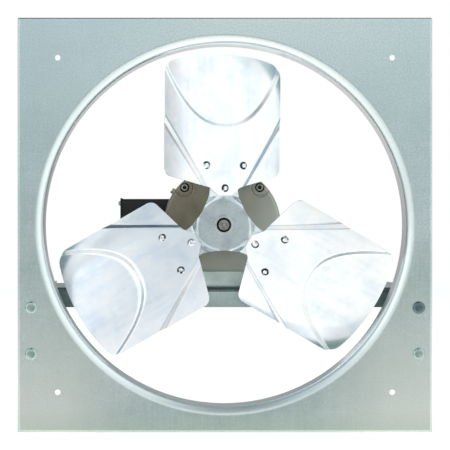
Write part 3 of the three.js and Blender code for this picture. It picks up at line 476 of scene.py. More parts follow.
def plated(name, colour, rough=0.34, painted_shade_ring=None, patchy=False):
    """Plated metal. A ring of painted shade is (start, end) in millimetres from the part's Y axis. Whole, it darkens
    a recess. In patches, it stands for painted dark reflections.
    """
    finish = Finish(name, 0.92)
    grain = finish.noise(0.0008)
    tint = finish.shades(finish.sum(finish.noise(0.02), grain, 0.4), colour, (0.72, 1, 1.12), 0.45, 0.95)
    if painted_shade_ring:
        start, end = (edge * MM for edge in painted_shade_ring)
        away = finish.away_from_axis()
        soft = 0.2 * MM
        # Painted shade in a ring round the axis.
        dark = finish.patch((away, start - soft, start + soft), (away, end + soft, end - soft))
        if patchy:
            dark = finish.product(dark, finish.patch((finish.own_noise(0.006), 0.45, 0.52)))
        tint = finish.blend(dark, tint, (0.02, 0.025, 0.025))
    return finish.done(tint, finish.between(grain, rough - 0.06, rough + 0.08), finish.relief(grain, 0.000015))


def painted(name, colour, metallic=0.15, rough=0.42, painted_light_colour=None, painted_highlight_under=None):
    """Worn paint. With a painted light colour, the paint turns to it towards the right and the foot of the motor:
    painted light, strongest at the lower right.

    Below the given height, in metres, the paint is pale, a painted highlight on the bend, and has lost its metallic
    sheen.
    """
    finish = Finish(name, metallic, coat=0.15)
    peel = finish.noise(0.0022, detail=2)
    dust = finish.noise(0.03, detail=4)
    tint = finish.shades(finish.sum(dust, peel, 0.3), colour, (0.78, 1, 1.2), 0.45, 0.9)
    if painted_light_colour:
        # Painted light: paler towards the lower right.
        low_right = finish.sum(finish.sum(finish.x, finish.z, -0.6), dust, 0.05)
        tint = finish.blend(finish.patch((low_right, -0.03, 0.085), peak=0.9), tint, painted_light_colour)
    if painted_highlight_under is not None:
        # Painted highlight: pale paint below the height, where the bend should catch light.
        soft = 0.4 * MM
        above = finish.patch((finish.z, painted_highlight_under - soft, painted_highlight_under + soft))
        finish.links.new(finish.between(above, 0, metallic, 0, 1), finish.shader.inputs["Metallic"])
        tint = finish.blend(above, (0.95, 1.0, 0.97), tint)
    roughness = finish.between(finish.sum(dust, peel, 0.5), rough - 0.08, rough + 0.12, 0.5, 1.0)
    return finish.done(tint, roughness, finish.relief(peel, 0.00001))


def turned_steel(name, colour):
    """Ground or turned steel, with marks round its Y axis."""
    finish = Finish(name, 0.95)
    marks = finish.noise(0.0007, finish.stretched((0.15, 5, 0.15)), detail=2)
    tint = finish.shades(finish.sum(finish.noise(0.008, detail=2), marks, 0.6), colour, (0.6, 1), 0.5, 1.1)
    return finish.done(tint, finish.between(marks, 0.22, 0.38), finish.relief(marks, 0.00002))


def moulded(name, colour):
    """Plastic with the fine grain of its mould."""
    finish = Finish(name, 0.0)
    grain = finish.noise(0.0007)
    tint = finish.shades(finish.noise(0.03, detail=2), colour, (1, 1.5))
    return finish.done(tint, finish.between(grain, 0.42, 0.6), finish.relief(grain, 0.00005))


def copper_wire(name):
    finish = Finish(name, 0.85)
    wires = finish.noise(0.0012, finish.stretched((1, 6, 1)), detail=1)
    tint = finish.colours(
        finish.between(wires, 0, 1), [(0, (0.16, 0.05, 0.02)), (0.5, (0.48, 0.19, 0.08)), (1, (0.68, 0.32, 0.16))]
    )
    return finish.done(tint, finish.between(wires, 0.3, 0.5), finish.relief(wires, 0.0003))


def laminated(name, colour):
    """A stack of thin sheets along Y."""
    finish = Finish(name, 0.85)
    layers = finish.noise(0.0006, finish.stretched((0.02, 1, 0.02)), detail=1)
    clouds = finish.noise(0.01)
    tint = finish.shades(finish.sum(clouds, layers, 0.8), colour, (0.5, 1), 0.6, 1.2)
    return finish.done(tint, finish.between(clouds, 0.4, 0.6), finish.relief(layers, 0.00015))


BRIGHT_BOLT = plated("bright_bolt", (0.5, 0.64, 0.6), 0.24)
DULL_BOLT = plated("dull_bolt", (0.17, 0.23, 0.25), 0.24)
# The socket bolt's dark ring is painted shade in its socket.
SOCKET_BOLT = plated("socket_bolt", (0.42, 0.44, 0.38), 0.26, (0, 2.4))
# The hub's dark ring is painted shade in the recess round the shaft's end.
HUB_FINISH = plated("hub_steel", (0.6, 0.64, 0.63), 0.3, (SHAFT_RADIUS, HUB_RECESS - 0.1))
# The shelf's finish is the galvanised sheet darkened with painted shade.
SHADED_SHELF_FINISH = galvanised("shelf_sheet_painted_shade", shelf_tones)
FINISHES = {
    "galvanised_steel": galvanised("galvanised_sheet", panel_tones),
    "zinc_plated_steel": plated("zinc_plate", (0.4, 0.48, 0.46), 0.2),
    # The base's pale bend below the seat is a painted highlight.
    "motor_base_paint": painted(
        "motor_base_paint", (0.66, 0.79, 0.74), 0.8, 0.42, painted_highlight_under=(BASE_UNDERSIDE + 3.5) * MM
    ),
    "shell_paint": painted("motor_shell_paint", (0.25, 0.23, 0.17)),
    # The shield's last colour is painted light, paler towards the lower right.
    "shield_paint": painted("motor_shield_paint", (0.31, 0.275, 0.19), 0.35, 0.34, (0.6, 0.63, 0.54)),
    "core_steel": laminated("core_laminations", (0.2, 0.2, 0.21)),
    "copper": copper_wire("winding_copper"),
    "ground_steel": turned_steel("ground_steel", (0.44, 0.44, 0.41)),
    "black_plastic": moulded("black_plastic", (0.006, 0.0065, 0.007)),
    "capacitor_can": plated("capacitor_can", (0.42, 0.44, 0.46), 0.42),
    "green_screw": plated("green_screw", (0.36, 0.42, 0.34), 0.4),
    "dark_steel": plated("dark_steel", (0.08, 0.08, 0.085), 0.45),
    "spider_steel": plated("plated_spider", (0.67, 0.76, 0.8), 0.3),
    "blade_aluminium": aluminium(),
    # The rivets' dark patches are painted reflections.
    "rivet_aluminium": plated("rivet_aluminium", (0.8, 0.83, 0.86), 0.16, (2.4, 4.5), patchy=True),
}


# Mesh building blocks: each part is (points, faces) in millimetres

def turns(count):
    """The angles of that many even steps round a circle."""
    return [2 * math.pi * step / count for step in range(count)]


def about_y(radius, y, turn):
    return radius * math.sin(turn), y, radius * math.cos(turn)


def circle(radius, y, segments):
    """A loop of points about the Y axis."""
    return [about_y(radius, y, turn) for turn in turns(segments)]


def spaced(start, end, count):
    return [start + (end - start) * step / count for step in range(count + 1)]


def stretches(start, *ends):
    """The start, and evenly spaced values on to each end in turn, given as (end, steps)."""
    values = [start]
    for end, steps in ends:
        values += spaced(values[-1], end, steps)[1:]
    return values


def smooth_step(value):
    value = min(max(value, 0.0), 1.0)
    return value * value * (3 - 2 * value)


def even_slope(value):
    """From 0 to 1 as the value does, at one slope with short rounded ends."""
    bend = 0.1
    value = min(max(value, 0.0), 1.0)
    slope = 1 / (1 - bend)
    if value < bend:
        return slope * value ** 2 / (2 * bend)
    if value > 1 - bend:
        return 1 - slope * (1 - value) ** 2 / (2 * bend)
    return slope * (value - bend / 2)


def shift(x=0.0, y=0.0, z=0.0):
    return Matrix.Translation((x * MM, y * MM, z * MM))


def spin(degrees, axis):
    return Matrix.Rotation(math.radians(degrees), 4, axis)


def bridge(one, other):
    """Faces between two rings of the same length, or between a ring and a single point."""
    longer = max(len(one), len(other))
    faces = []
    for step in range(longer):
        ahead = (step + 1) % longer
        if len(one) == 1:
            faces.append((one[0], other[ahead], other[step]))
        elif len(other) == 1:
            faces.append((one[step], one[ahead], other[0]))
        else:
            faces.append((one[step], one[ahead], other[ahead], other[step]))
    return faces


def filleted(corners, steps=4, closed=False):
    """The corners as (a, b) points, with an arc at each corner that has a radius as its third value."""
    points = []
    count = len(corners)
    for index, (a, b, *radius) in enumerate(corners):
        inner = closed or 0 < index < count - 1
        if not radius or not inner:
            points.append((a, b))
            continue
        here = Vector((a, b))
        before = (Vector(corners[index - 1][:2]) - here).normalized()
        after = (Vector(corners[(index + 1) % count][:2]) - here).normalized()
        half = before.angle(after) / 2
        reach = radius[0] / math.tan(half)
        start = here + before * reach
        centre = here + (before + after).normalized() * radius[0] / math.sin(half)
        turn = math.pi - 2 * half
        side = math.copysign(1, before.x * after.y - before.y * after.x)
        for step in range(steps + 1):
            angle = -side * turn * step / steps
            arm = start - centre
            spun = (
                arm.x * math.cos(angle) - arm.y * math.sin(angle),
                arm.x * math.sin(angle) + arm.y * math.cos(angle),
            )
            points.append((centre.x + spun[0], centre.y + spun[1]))
    return points


def lofted(loops, closed=False, capped=False):
    """A skin from each loop of points to the next. A loop of one point is a pole."""
    points = [point for loop in loops for point in loop]
    numbers = iter(range(len(points)))
    rings = [[next(numbers) for _ in loop] for loop in loops]
    faces = []
    for one, other in zip(rings, rings[1:] + (rings[:1] if closed else [])):
        faces += bridge(one, other)
    if capped:
        faces += [tuple(reversed(rings[0])), tuple(rings[-1])]
    return points, faces


def revolved(profile, segments=64, closed=False):
    """A body turned about the Y axis from (radius, y) points. A point with radius 0 is a pole."""
    return lofted([circle(radius, y, segments if radius else 1) for radius, y in profile], closed)


def rod(radius, start, end, segments=32):
    return revolved([(0, start), (radius, start), (radius, end), (0, end)], segments)


def slab(low, high, corner, thin=0, edge=0.0, steps=4):
    """A plate between two corners, thin along one axis, with rounded corners and, if asked, softened edges."""
    wide, tall = (axis for axis in range(3) if axis != thin)
    softening = [(0, 1), (0.3, 0.3), (1, 0)] if edge else [(0, 0)]
    levels = [(low[thin] + drop * edge, inset * edge) for drop, inset in softening]
    levels += [(high[thin] - drop * edge, inset * edge) for drop, inset in reversed(softening)]
    loops = []
    for level, inset in levels:
        near, far = low[wide] + inset, high[wide] - inset
        foot, top = low[tall] + inset, high[tall] - inset
        places = [(near, foot), (far, foot), (far, top), (near, top)]
        outline = filleted([(*place, corner - inset) for place in places], steps, closed=True)
        loops.append([(level, a, b) if thin == 0 else (a, level, b) for a, b in outline])
    points, faces = lofted(loops)
    count = len(loops[0])
    faces += [tuple(range(count)), tuple(reversed(range(len(points) - count, len(points))))]
    return points, faces


def thickened(front, back, faces):
    """A closed sheet from its front and back points, with walls along every open edge."""
    count = len(front)
    uses = Counter()
    for face in faces:
        for a, b in zip(face, face[1:] + face[:1]):
            uses[frozenset((a, b))] += 1
    whole = list(faces)
    for face in faces:
        whole.append(tuple(index + count for index in reversed(face)))
        for a, b in zip(face, face[1:] + face[:1]):
            if uses[frozenset((a, b))] == 1:
                whole.append((b, a, a + count, b + count))
    return front + back, whole


def grid_faces(rows, columns, start=0):
    """Faces between the points of a grid that begins at the start, row by row."""
    faces = []
    for row in range(rows - 1):
        for column in range(columns - 1):
            near = start + row * columns + column
            faces.append((near, near + 1, near + columns + 1, near + columns))
    return faces


def sheet_section(corners, sheet, inner_radius, steps=6):
    """The two faces of a folded sheet: the given path is its right face, and the sheet lies to its left."""
    outer_radius = inner_radius + sheet
    path = [Vector(corner) for corner in corners]
    ways = [(ahead - here).normalized() for here, ahead in zip(path, path[1:])]
    right, left = [], []
    for here, enter, leave in zip(path, ways[:1] + ways, ways + ways[-1:]):
        out = Vector((-enter.y - leave.y, enter.x + leave.x)).normalized()
        there = here + out * sheet / out.dot(Vector((-enter.y, enter.x)))
        turns_left = enter.x * leave.y - enter.y * leave.x > 0
        right.append((*here, outer_radius if turns_left else inner_radius))
        left.append((*there, inner_radius if turns_left else outer_radius))
    return filleted(right, steps), filleted(left, steps)


def joined(*parts):
    """One part from several."""
    points, faces = [], []
    for part_points, part_faces in parts:
        shift = len(points)
        points += part_points
        faces += [tuple(index + shift for index in face) for face in part_faces]
    return points, faces


def moved(part, matrix):
    points, faces = part
    return [tuple(matrix @ Vector(point)) for point in points], faces


def hexagon(across, low, high, bore=0.0, chamfer_low=False, chamfer_high=False, segments=48):
    """A hexagonal head or nut along Y, with the corners of its chamfered ends turned down."""
    washer = 0.95 * across / 2
    slope = math.tan(math.radians(30))
    sixth = math.pi / 3

    def ring(share, end, chamfer):
        points = []
        for turn in turns(segments):
            side = across / 2 / math.cos((turn % sixth) - sixth / 2)
            radius = share if share < washer else side
            over = max(radius - washer, 0) * slope if chamfer else 0
            y = end + over if end == low else end - over
            points.append(about_y(radius, y, turn))
        return points

    face, inner = 0.94 * across / 2, bore or 0.001
    return lofted([
        ring(inner, low, False), ring(face, low, False), ring(across, low, chamfer_low),
        ring(across, high, chamfer_high), ring(face, high, False), ring(inner, high, False),
    ], closed=True)


def threaded(radius, plain, end, pitch=M6_PITCH, segments=24):
    """A rod along Y: smooth from y = 0 to the plain length, then threaded to its chamfered end."""
    depth = 0.55 * pitch
    rows_per_turn = 6
    rows = [0.0, max(plain - pitch, 0.01), *spaced(plain, end, int((end - plain) / pitch * rows_per_turn))]
    loops = []
    for y in rows:
        loops.append([])
        for step, turn in enumerate(turns(segments)):
            wave = abs(((y / pitch - step / segments) % 1) * 2 - 1)
            fade = min(max((y - plain) / pitch, 0), 1)
            chamfer = max(y - (end - depth), 0)
            local = radius - fade * depth * wave - chamfer
            loops[-1].append(about_y(local, y, turn))
    return lofted(loops, capped=True)


# From parts to the scene's pieces

def mesh_of(part, name="work"):
    points, faces = part
    mesh = bpy.data.meshes.new(name)
    mesh.from_pydata([Vector(point) * MM for point in points], [], faces)
    return mesh


def cleaned(mesh):
    """The mesh with its doubled points made one and its faces turned outward."""
    work = bmesh.new()
    work.from_mesh(mesh)
    bmesh.ops.remove_doubles(work, verts=work.verts, dist=0.000001)
    bmesh.ops.recalc_face_normals(work, faces=work.faces)
    work.to_mesh(mesh)
    work.free()
    return mesh


def linked(name, data):
    """An object of the scene, from a mesh, a lamp or a camera."""
    made = bpy.data.objects.new(name, data)
    bpy.context.scene.collection.objects.link(made)
    return made


def carved(part, *tools):
    """The part's mesh with the tools cut out of it."""
    body, *cutters = (linked("work", cleaned(mesh_of(shape))) for shape in (part, *tools))
    for cutter in cutters:
        change = body.modifiers.new("cut", "BOOLEAN")
        change.object = cutter
        change.solver = "EXACT"
    depsgraph = bpy.context.evaluated_depsgraph_get()
    mesh = bpy.data.meshes.new_from_object(body.evaluated_get(depsgraph))
    for used in [body, *cutters]:
        bpy.data.objects.remove(used)
    return mesh


def stacked(*meshes):
    """One mesh from several that lie against each other."""
    work = bmesh.new()
    for mesh in meshes:
        work.from_mesh(mesh)
    whole = bpy.data.meshes.new("stacked")
    work.to_mesh(whole)
    work.free()
    return whole


def piece(name, shape, body, stands_for, slot, matrix=None, sharp=32, weighted=False, finish=None):
    """Makes the object of a part or a mesh, gives it its finish, and puts it on its CAD body."""
    mesh = cleaned(shape if isinstance(shape, bpy.types.Mesh) else mesh_of(shape, name))
    mesh.polygons.foreach_set("use_smooth", [True] * len(mesh.polygons))
    mesh.set_sharp_from_angle(angle=math.radians(sharp))
    mesh.materials.append(finish or FINISHES[slot])
    made = linked(name, mesh)
    if weighted:
        made.modifiers.new("normals", "WEIGHTED_NORMAL").keep_sharp = True
    if matrix is not None:
        made.matrix_world = matrix
    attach(made, body)
    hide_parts(stands_for)
    return made


def fastener(name, shape, stands_for, matrix, finish=None):
    """A zinc-plated piece of the frame."""
    piece(name, shape, "frame", stands_for, "zinc_plated_steel", matrix, finish=finish)


# Panel

def panel_bolt_places():
    upper = SHELF_TOP - PANEL_BOLT_DROP
    return [("upper", upper), ("lower", upper - PANEL_BOLT_SPACING)]


def bell_profile():
    """The bell mouth from its crease to its throat, as (radius, y, angle): a shallow bowl and a tight turn."""
    crease, turn = math.radians(BELL_CREASE), math.radians(BELL_TURN)
    bowl = BELL_BOWL / (math.sin(turn) - math.sin(crease))
    bend = (BELL_RADIUS - BELL_BOWL) / (1 - math.sin(turn))
    places = []
    reach, y = ROLL_RADIUS, 0.0
    for radius, start, end in ((bowl, crease, turn), (bend, turn, math.pi / 2)):
        angles = spaced(start, end, 8)
        for angle in angles[1:] if places else angles:
            places.append((
                reach - radius * (math.sin(angle) - math.sin(start)),
                y + radius * (math.cos(start) - math.cos(angle)), angle,
            ))
        reach, y = places[-1][:2]
    return places


def quarter_turned(x, z, times):
    """A place turned about the middle of the panel by that many right angles."""
    for _ in range(times):
        x, z = z, -x
    return x, z


def make_panel():
    """A flat face with its holes, a rolled bell mouth and throat, and four edges turned back."""
    front, back, faces = [], [], []

    def add(point, rear):
        front.append(point)
        back.append(rear)
        return len(front) - 1

    def flat(x, z):
        return add((x, 0, z), (x, PANEL_SHEET, z))

    def hole(x, z, radius, segments):
        return [flat(x + a, z + b) for a, _, b in circle(radius, 0, segments)]

    def ring_after(ring, place, rear_place):
        pairs = zip(circle(*place, BELL_SEGMENTS), circle(*rear_place, BELL_SEGMENTS))
        fresh = [add(*pair) for pair in pairs]
        faces.extend(bridge(ring, fresh))
        return fresh

    bend_start = HALF_PANEL - PANEL_BEND
    edge = bend_start - FLAT_EDGE
    square = [
        flat(*quarter_turned(along, edge, corner))
        for corner in range(4) for along in spaced(-edge, edge, SIDE_POINTS)[:-1]
    ]
    ring = hole(0, 0, ROLL_RADIUS + FLAT_EDGE, BELL_SEGMENTS)
    loops = [square, ring]
    inset = HALF_PANEL - CORNER_HOLE_INSET
    loops += [hole(x, z, CORNER_HOLE_RADIUS, 24) for x in (-inset, inset) for z in (-inset, inset)]
    for x in (-PANEL_BOLT_X, PANEL_BOLT_X):
        loops += [hole(x, z, PANEL_BOLT_SHANK + FIT_GAP, 20) for _, z in panel_bolt_places()]
    order = [index for loop in loops for index in loop]
    outlines = [[Vector((front[index][0], front[index][2], 0)) for index in loop] for loop in loops]
    faces += [tuple(order[corner] for corner in triangle) for triangle in tessellate_polygon(outlines)]

    for reach, y, angle in bell_profile():
        rear = (reach + PANEL_SHEET * math.sin(angle), y + PANEL_SHEET * math.cos(angle))
        ring = ring_after(ring, (reach, y), rear)
    for y in spaced(bell_profile()[-1][1], THROAT_DEPTH, 4)[1:]:
        ring = ring_after(ring, (THROAT_RADIUS, y), (THROAT_RADIUS + PANEL_SHEET, y))

    section = [(bend_start, 0, bend_start, PANEL_SHEET)]
    inner = PANEL_BEND - PANEL_SHEET
    for angle in spaced(0, math.pi / 2, 6)[1:]:
        section.append((
            bend_start + PANEL_BEND * math.sin(angle), PANEL_BEND * (1 - math.cos(angle)),
            bend_start + inner * math.sin(angle), PANEL_BEND - inner * math.cos(angle),
        ))
    for y in spaced(PANEL_BEND, PANEL_DEPTH, 3)[1:]:
        section.append((HALF_PANEL, y, HALF_PANEL - PANEL_SHEET, y))
    for corner in range(4):
        row = [square[(corner * SIDE_POINTS + step) % len(square)] for step in range(SIDE_POINTS + 1)]
        for level, (half, y, rear_half, rear_y) in enumerate(section):
            slit = CORNER_SLIT * min(level / 4, 1)
            fresh = []
            for share in spaced(-1, 1, SIDE_POINTS):
                x, z = quarter_turned(share * (half - slit), half, corner)
                rear_x, rear_z = quarter_turned(share * (rear_half - slit), rear_half, corner)
                fresh.append(add((x, y, z), (rear_x, rear_y, rear_z)))
            for step in range(SIDE_POINTS):
                faces.append((row[step], row[step + 1], fresh[step + 1], fresh[step]))
            row = fresh
    return front, back, faces


def welded(front, back, faces):
    """The same sheet with the points that lie in one place made one, so that its edges close."""
    seen, number, new_front, new_back = {}, [], [], []
    for point, rear in zip(front, back):
        key = tuple(round(value, 3) for value in (*point, *rear))
        if key not in seen:
            seen[key] = len(new_front)
            new_front.append(point)
            new_back.append(rear)
        number.append(seen[key])
    return new_front, new_back, [tuple(number[index] for index in face) for face in faces]


piece("panel_sheet", thickened(*welded(*make_panel())), "frame", "panel", "galvanised_steel")


# Arms: a web beside the throat with a flange against the panel

def make_arm(sign):
    paths = sheet_section(
        [(ARM_INSIDE, SHELF_REAR + ARM_SHEET), (ARM_INSIDE, SHEET_START), (ARM_OUTSIDE, SHEET_START)],
        ARM_SHEET, ARM_BEND - ARM_SHEET / 2,
    )

    def divided(path):
        """The path with points at least every 12 mm."""
        points = [path[0]]
        for here, ahead in zip(path, path[1:]):
            steps = max(int(math.dist(here, ahead) / 6), 1)
            xs, ys = (spaced(*ends, steps)[1:] for ends in zip(here, ahead))
            points += zip(xs, ys)
        return points

    foot = SHELF_TOP - PANEL_BOLT_DROP - PANEL_BOLT_SPACING - ARM_FOOT_EDGE
    bottom = SHELF_TOP - SHELF_HEIGHT - ARM_SHEET
    top = SHELF_TOP + ARM_TOP_RISE
    slope_start = SHEET_START + ARM_OUTSIDE - ARM_INSIDE
    slope_end = SHELF_FRONT + SHELF_BOLT_INSET

    def low(y):
        share = min(max((y - slope_start) / (slope_end - slope_start), 0), 1)
        return foot + (bottom - foot) * share

    def high(y):
        return top + (SHELF_TOP + ARM_SHEET - top) * (y - SHEET_START) / (SHELF_REAR + ARM_SHEET - SHEET_START)

    rows = 9
    front, back = [], []
    pairs = list(zip(*(divided(path) for path in paths)))
    for share in spaced(0, 1, rows - 1):
        for (x, y), (rear_x, rear_y) in pairs:
            z = low(y) + (high(y) - low(y)) * share
            front.append((sign * x, y, z))
            back.append((sign * rear_x, rear_y, z))
    return thickened(front, back, grid_faces(rows, len(pairs)))


for side, sign in SIDES:
    piece(f"{side}_arm_sheet", make_arm(sign), "frame", f"{side}_arm", "galvanised_steel")


# Shelf and motor base

def channel_along_x(corners, sheet, inner_radius, half, columns=24):
    """A folded sheet with the same (y, z) section from -half to half."""
    right, left = sheet_section(corners, sheet, inner_radius)
    xs = spaced(-half, half, columns)
    front, back = ([(x, y, z) for x in xs for y, z in path] for path in (right, left))
    return thickened(front, back, grid_faces(columns + 1, len(right)))


def make_shelf():
    """A channel that is open downwards, with a tab across each end for the arm's bolts."""
    half = ARM_INSIDE - FIT_GAP
    bottom = SHELF_TOP - SHELF_HEIGHT
    channel = channel_along_x(
        [(SHELF_REAR, bottom), (SHELF_REAR, SHELF_TOP), (SHELF_FRONT, SHELF_TOP), (SHELF_FRONT, bottom)],
        SHELF_SHEET, SHELF_BEND - SHELF_SHEET / 2, half,
    )
    tabs = []
    for sign in (-1, 1):
        near, far = sorted((sign * half, sign * (half - SHELF_SHEET)))
        tabs.append(slab(
            (near, SHELF_FRONT + SHELF_SHEET + FIT_GAP, bottom),
            (far, SHELF_REAR - SHELF_SHEET - FIT_GAP, SHELF_TOP - SHELF_SHEET / 2), 2.5,
        ))
    return joined(channel, *tabs)


piece("motor_shelf_channel", make_shelf(), "frame", "motor_shelf", "galvanised_steel", finish=SHADED_SHELF_FINISH)


def make_base():
    """A tray that is turned up at the front and rear, with two ribs that the motor's shell rests on."""
    lip = BASE_UNDERSIDE + BASE_FLANGE
    tray = channel_along_x(
        [(BASE_FRONT, lip), (BASE_FRONT, BASE_UNDERSIDE), (BASE_REAR, BASE_UNDERSIDE), (BASE_REAR, lip)],
        BASE_SHEET, BASE_BEND - BASE_SHEET / 2, BASE_WIDTH / 2,
    )
    ribs = []
    for sign in (-1, 1):
        front, back = [], []
        near = sign * SADDLE_SPREAD - SADDLE_SHEET / 2
        for y in spaced(SHELL_FRONT + 0.5, SHELL_REAR - 0.5, 12):
            for x, side_points in ((near, front), (near + SADDLE_SHEET, back)):
                top = -math.sqrt((SHELL_RADIUS + FIT_GAP) ** 2 - x ** 2)
                heights = (BASE_UNDERSIDE + BASE_SHEET / 2, (BASE_UNDERSIDE + top) / 2, top)
                side_points.extend((x, y, z) for z in heights)
        ribs.append(thickened(front, back, grid_faces(13, 3)))
    return joined(tray, *ribs)


piece("motor_base_tray", make_base(), "frame", "motor_base", "motor_base_paint")


# Fasteners of the panel, the shelf and the base

BOLT_SEAT = PANEL_SHEET + FIT_GAP + ARM_SHEET + FIT_GAP


def carriage_bolt():
    length = BOLT_SEAT + PANEL_NUT_HEIGHT + PANEL_BOLT_SHANK + FIT_GAP
    top = -PANEL_BOLT_DOME
    profile = [(0, top), (1.5, top + 0.02), (3, top + 0.08), (4.6, top + 0.2)]
    for angle in spaced(math.radians(12), math.radians(80), 7):
        profile.append((
            4.6 + (PANEL_BOLT_HEAD - 4.65) * math.sin(angle),
            top + 0.2 + (PANEL_BOLT_DOME - 0.4) * (1 - math.cos(angle)),
        ))
    profile += [(PANEL_BOLT_HEAD, -0.2), (PANEL_BOLT_HEAD - 0.1, 0), (PANEL_BOLT_SHANK, 0), (0, 0)]
    return joined(revolved(profile, 48), threaded(PANEL_BOLT_SHANK, BOLT_SEAT, length))


def hex_bolt(length, plain):
    return joined(hexagon(M6_ACROSS, -M6_HEAD, 0, chamfer_low=True), threaded(M6_SHANK, plain, length))


def hex_nut(across, height, shank):
    return hexagon(across, 0, height, bore=shank - 0.3, chamfer_low=True, chamfer_high=True)


for side, sign in SIDES:
    x = sign * PANEL_BOLT_X
    for level, z in panel_bolt_places():
        where = f"{side}_{level}"
        fastener(
            f"carriage_bolt_{where}", carriage_bolt(), f"panel_bolt_{where}", shift(x, -FIT_GAP, z),
            DULL_BOLT if where == "right_upper" else BRIGHT_BOLT,
        )
        nut = hex_nut(PANEL_NUT_ACROSS, PANEL_NUT_HEIGHT, PANEL_BOLT_SHANK)
        fastener(f"carriage_nut_{where}", nut, f"panel_nut_{where}", shift(x, BOLT_SEAT, z))
    outside = ARM_INSIDE + ARM_SHEET + FIT_GAP
    reach = ARM_SHEET + SHELF_SHEET + 3 * FIT_GAP + M6_HEAD + M6_SHANK
    nut_face = ARM_INSIDE - FIT_GAP - SHELF_SHEET - FIT_GAP
    z = SHELF_TOP - SHELF_BOLT_DROP
    for end, y in (("front", SHELF_FRONT + SHELF_BOLT_INSET), ("rear", SHELF_REAR - SHELF_BOLT_INSET)):
        where = f"{side}_{end}"
        turned = spin(sign * 90, "Z")
        bolt, nut = hex_bolt(reach, 3), hex_nut(M6_ACROSS, M6_HEAD, M6_SHANK)
        fastener(f"side_bolt_{where}", bolt, f"shelf_bolt_{where}", shift(sign * outside, y, z) @ turned)
        fastener(f"side_nut_{where}", nut, f"shelf_nut_{where}", shift(sign * nut_face, y, z) @ turned)
    x = sign * (BASE_WIDTH / 2 - BASE_BOLT_INSET)
    z = BASE_UNDERSIDE + BASE_SHEET + FIT_GAP
    reach = z - SHELF_TOP + SHELF_SHEET + 2 * M6_SHANK
    middle = (BASE_FRONT + BASE_REAR) / 2
    for end, y in (("front", middle - BASE_BOLT_SPACING / 2), ("rear", middle + BASE_BOLT_SPACING / 2)):
        where = f"{side}_{end}"
        fastener(f"foot_bolt_{where}", hex_bolt(reach, 4), f"base_bolt_{where}", shift(x, y, z) @ spin(-90, "X"))


# Motor casing

def bolt_corners():
    return [
        (f"{level}_{side}", sign * BOLT_OFFSET, rise * BOLT_OFFSET)
        for level, rise in (("upper", 1), ("lower", -1)) for side, sign in SIDES
    ]


def rolled_ring(radius, width, depth):
    """A ring about the Y axis with an oval section, to press a groove into a face at y = 0."""
    section = [(radius + width / 2 * math.cos(turn), depth * math.sin(turn)) for turn in turns(8)]
    return revolved(section, 48, closed=True)


def make_shield():
    """An end shield for the front: its face lies at y = 0, and its skirt runs to the shell."""
    inside = SHIELD_RADIUS - SHIELD_SHEET
    pocket = BEARING_OUTER + FIT_GAP
    groove_inner, groove_outer = SHIELD_GROOVE
    profile = filleted([
        (SHAFT_HOLE, -BOSS_REACH, 0.5), (SHAFT_HOLE, 0), (pocket, 0), (pocket, BEARING_WIDTH),
        (BOSS_RADIUS, BEARING_WIDTH), (BOSS_RADIUS, SHIELD_SHEET, 1.5), (inside, SHIELD_SHEET, 2),
        (inside, SHIELD_DEPTH), (SHIELD_RADIUS, SHIELD_DEPTH, 0.5), (SHIELD_RADIUS, 0, SHIELD_ROUND),
        *((radius, 0) for radius in spaced(SHIELD_RADIUS - SHIELD_ROUND - 1, groove_outer + 4, 16)),
        (groove_outer, 0, 2), (groove_inner, SHIELD_GROOVE_DEPTH, 2),
        (BOSS_RADIUS + SHIELD_SHEET + 1, SHIELD_GROOVE_DEPTH, 2), (BOSS_RADIUS - 0.5, -BOSS_REACH, 1.2),
    ], closed=True)
    tools = []
    for _, x, z in bolt_corners():
        pocket_tool = rod(BOLT_POCKET, -2, BOLT_POCKET_DEPTH + FIT_GAP)
        ring_tool = rolled_ring(POCKET_RING, POCKET_RING_WIDTH, POCKET_RING_DEPTH)
        tools += [moved(tool, Matrix.Translation((x, 0, z))) for tool in (pocket_tool, ring_tool)]
    return carved(revolved(profile, 144, closed=True), *tools)


front_shield = make_shield()
for end, shield, place in (
    ("front", front_shield, shift(0, SHIELD_FRONT)),
    ("rear", front_shield.copy(), shift(0, SHIELD_REAR) @ spin(180, "X")),
):
    piece(f"motor_{end}_shield", shield, "frame", f"{end}_shield", "shield_paint", place, sharp=28, weighted=True)


def make_shell():
    """A rolled tube with two beads and a welded seam along its underside."""
    outline = [(SHELL_FRONT, -0.5), (SHELL_FRONT + 0.6, 0)]
    for middle in (SHELL_FRONT + SHELL_BEAD_INSET, SHELL_REAR - SHELL_BEAD_INSET):
        start = middle - SHELL_BEAD_WIDTH / 2
        for share in spaced(0, 1, 8):
            outline.append((start + SHELL_BEAD_WIDTH * share, -SHELL_BEAD_DEPTH * math.sin(math.pi * share)))
    outline += [(SHELL_REAR - 0.6, 0), (SHELL_REAR, -0.5)]
    segments = 120
    loops = []
    for y, drop in outline:
        loops.append([])
        for turn in turns(segments):
            seam = SEAM_HEIGHT * smooth_step(1 - abs(turn - math.pi) * SHELL_RADIUS / SEAM_HALF_WIDTH)
            radius = SHELL_RADIUS + drop + seam * (drop > -0.4)
            loops[-1].append(about_y(radius, y, turn))
    loops += [circle(SHELL_RADIUS - SHELL_SHEET, y, segments) for y, _ in reversed(outline)]
    return lofted(loops, closed=True)


piece("motor_shell_tube", make_shell(), "frame", "motor_shell", "shell_paint")


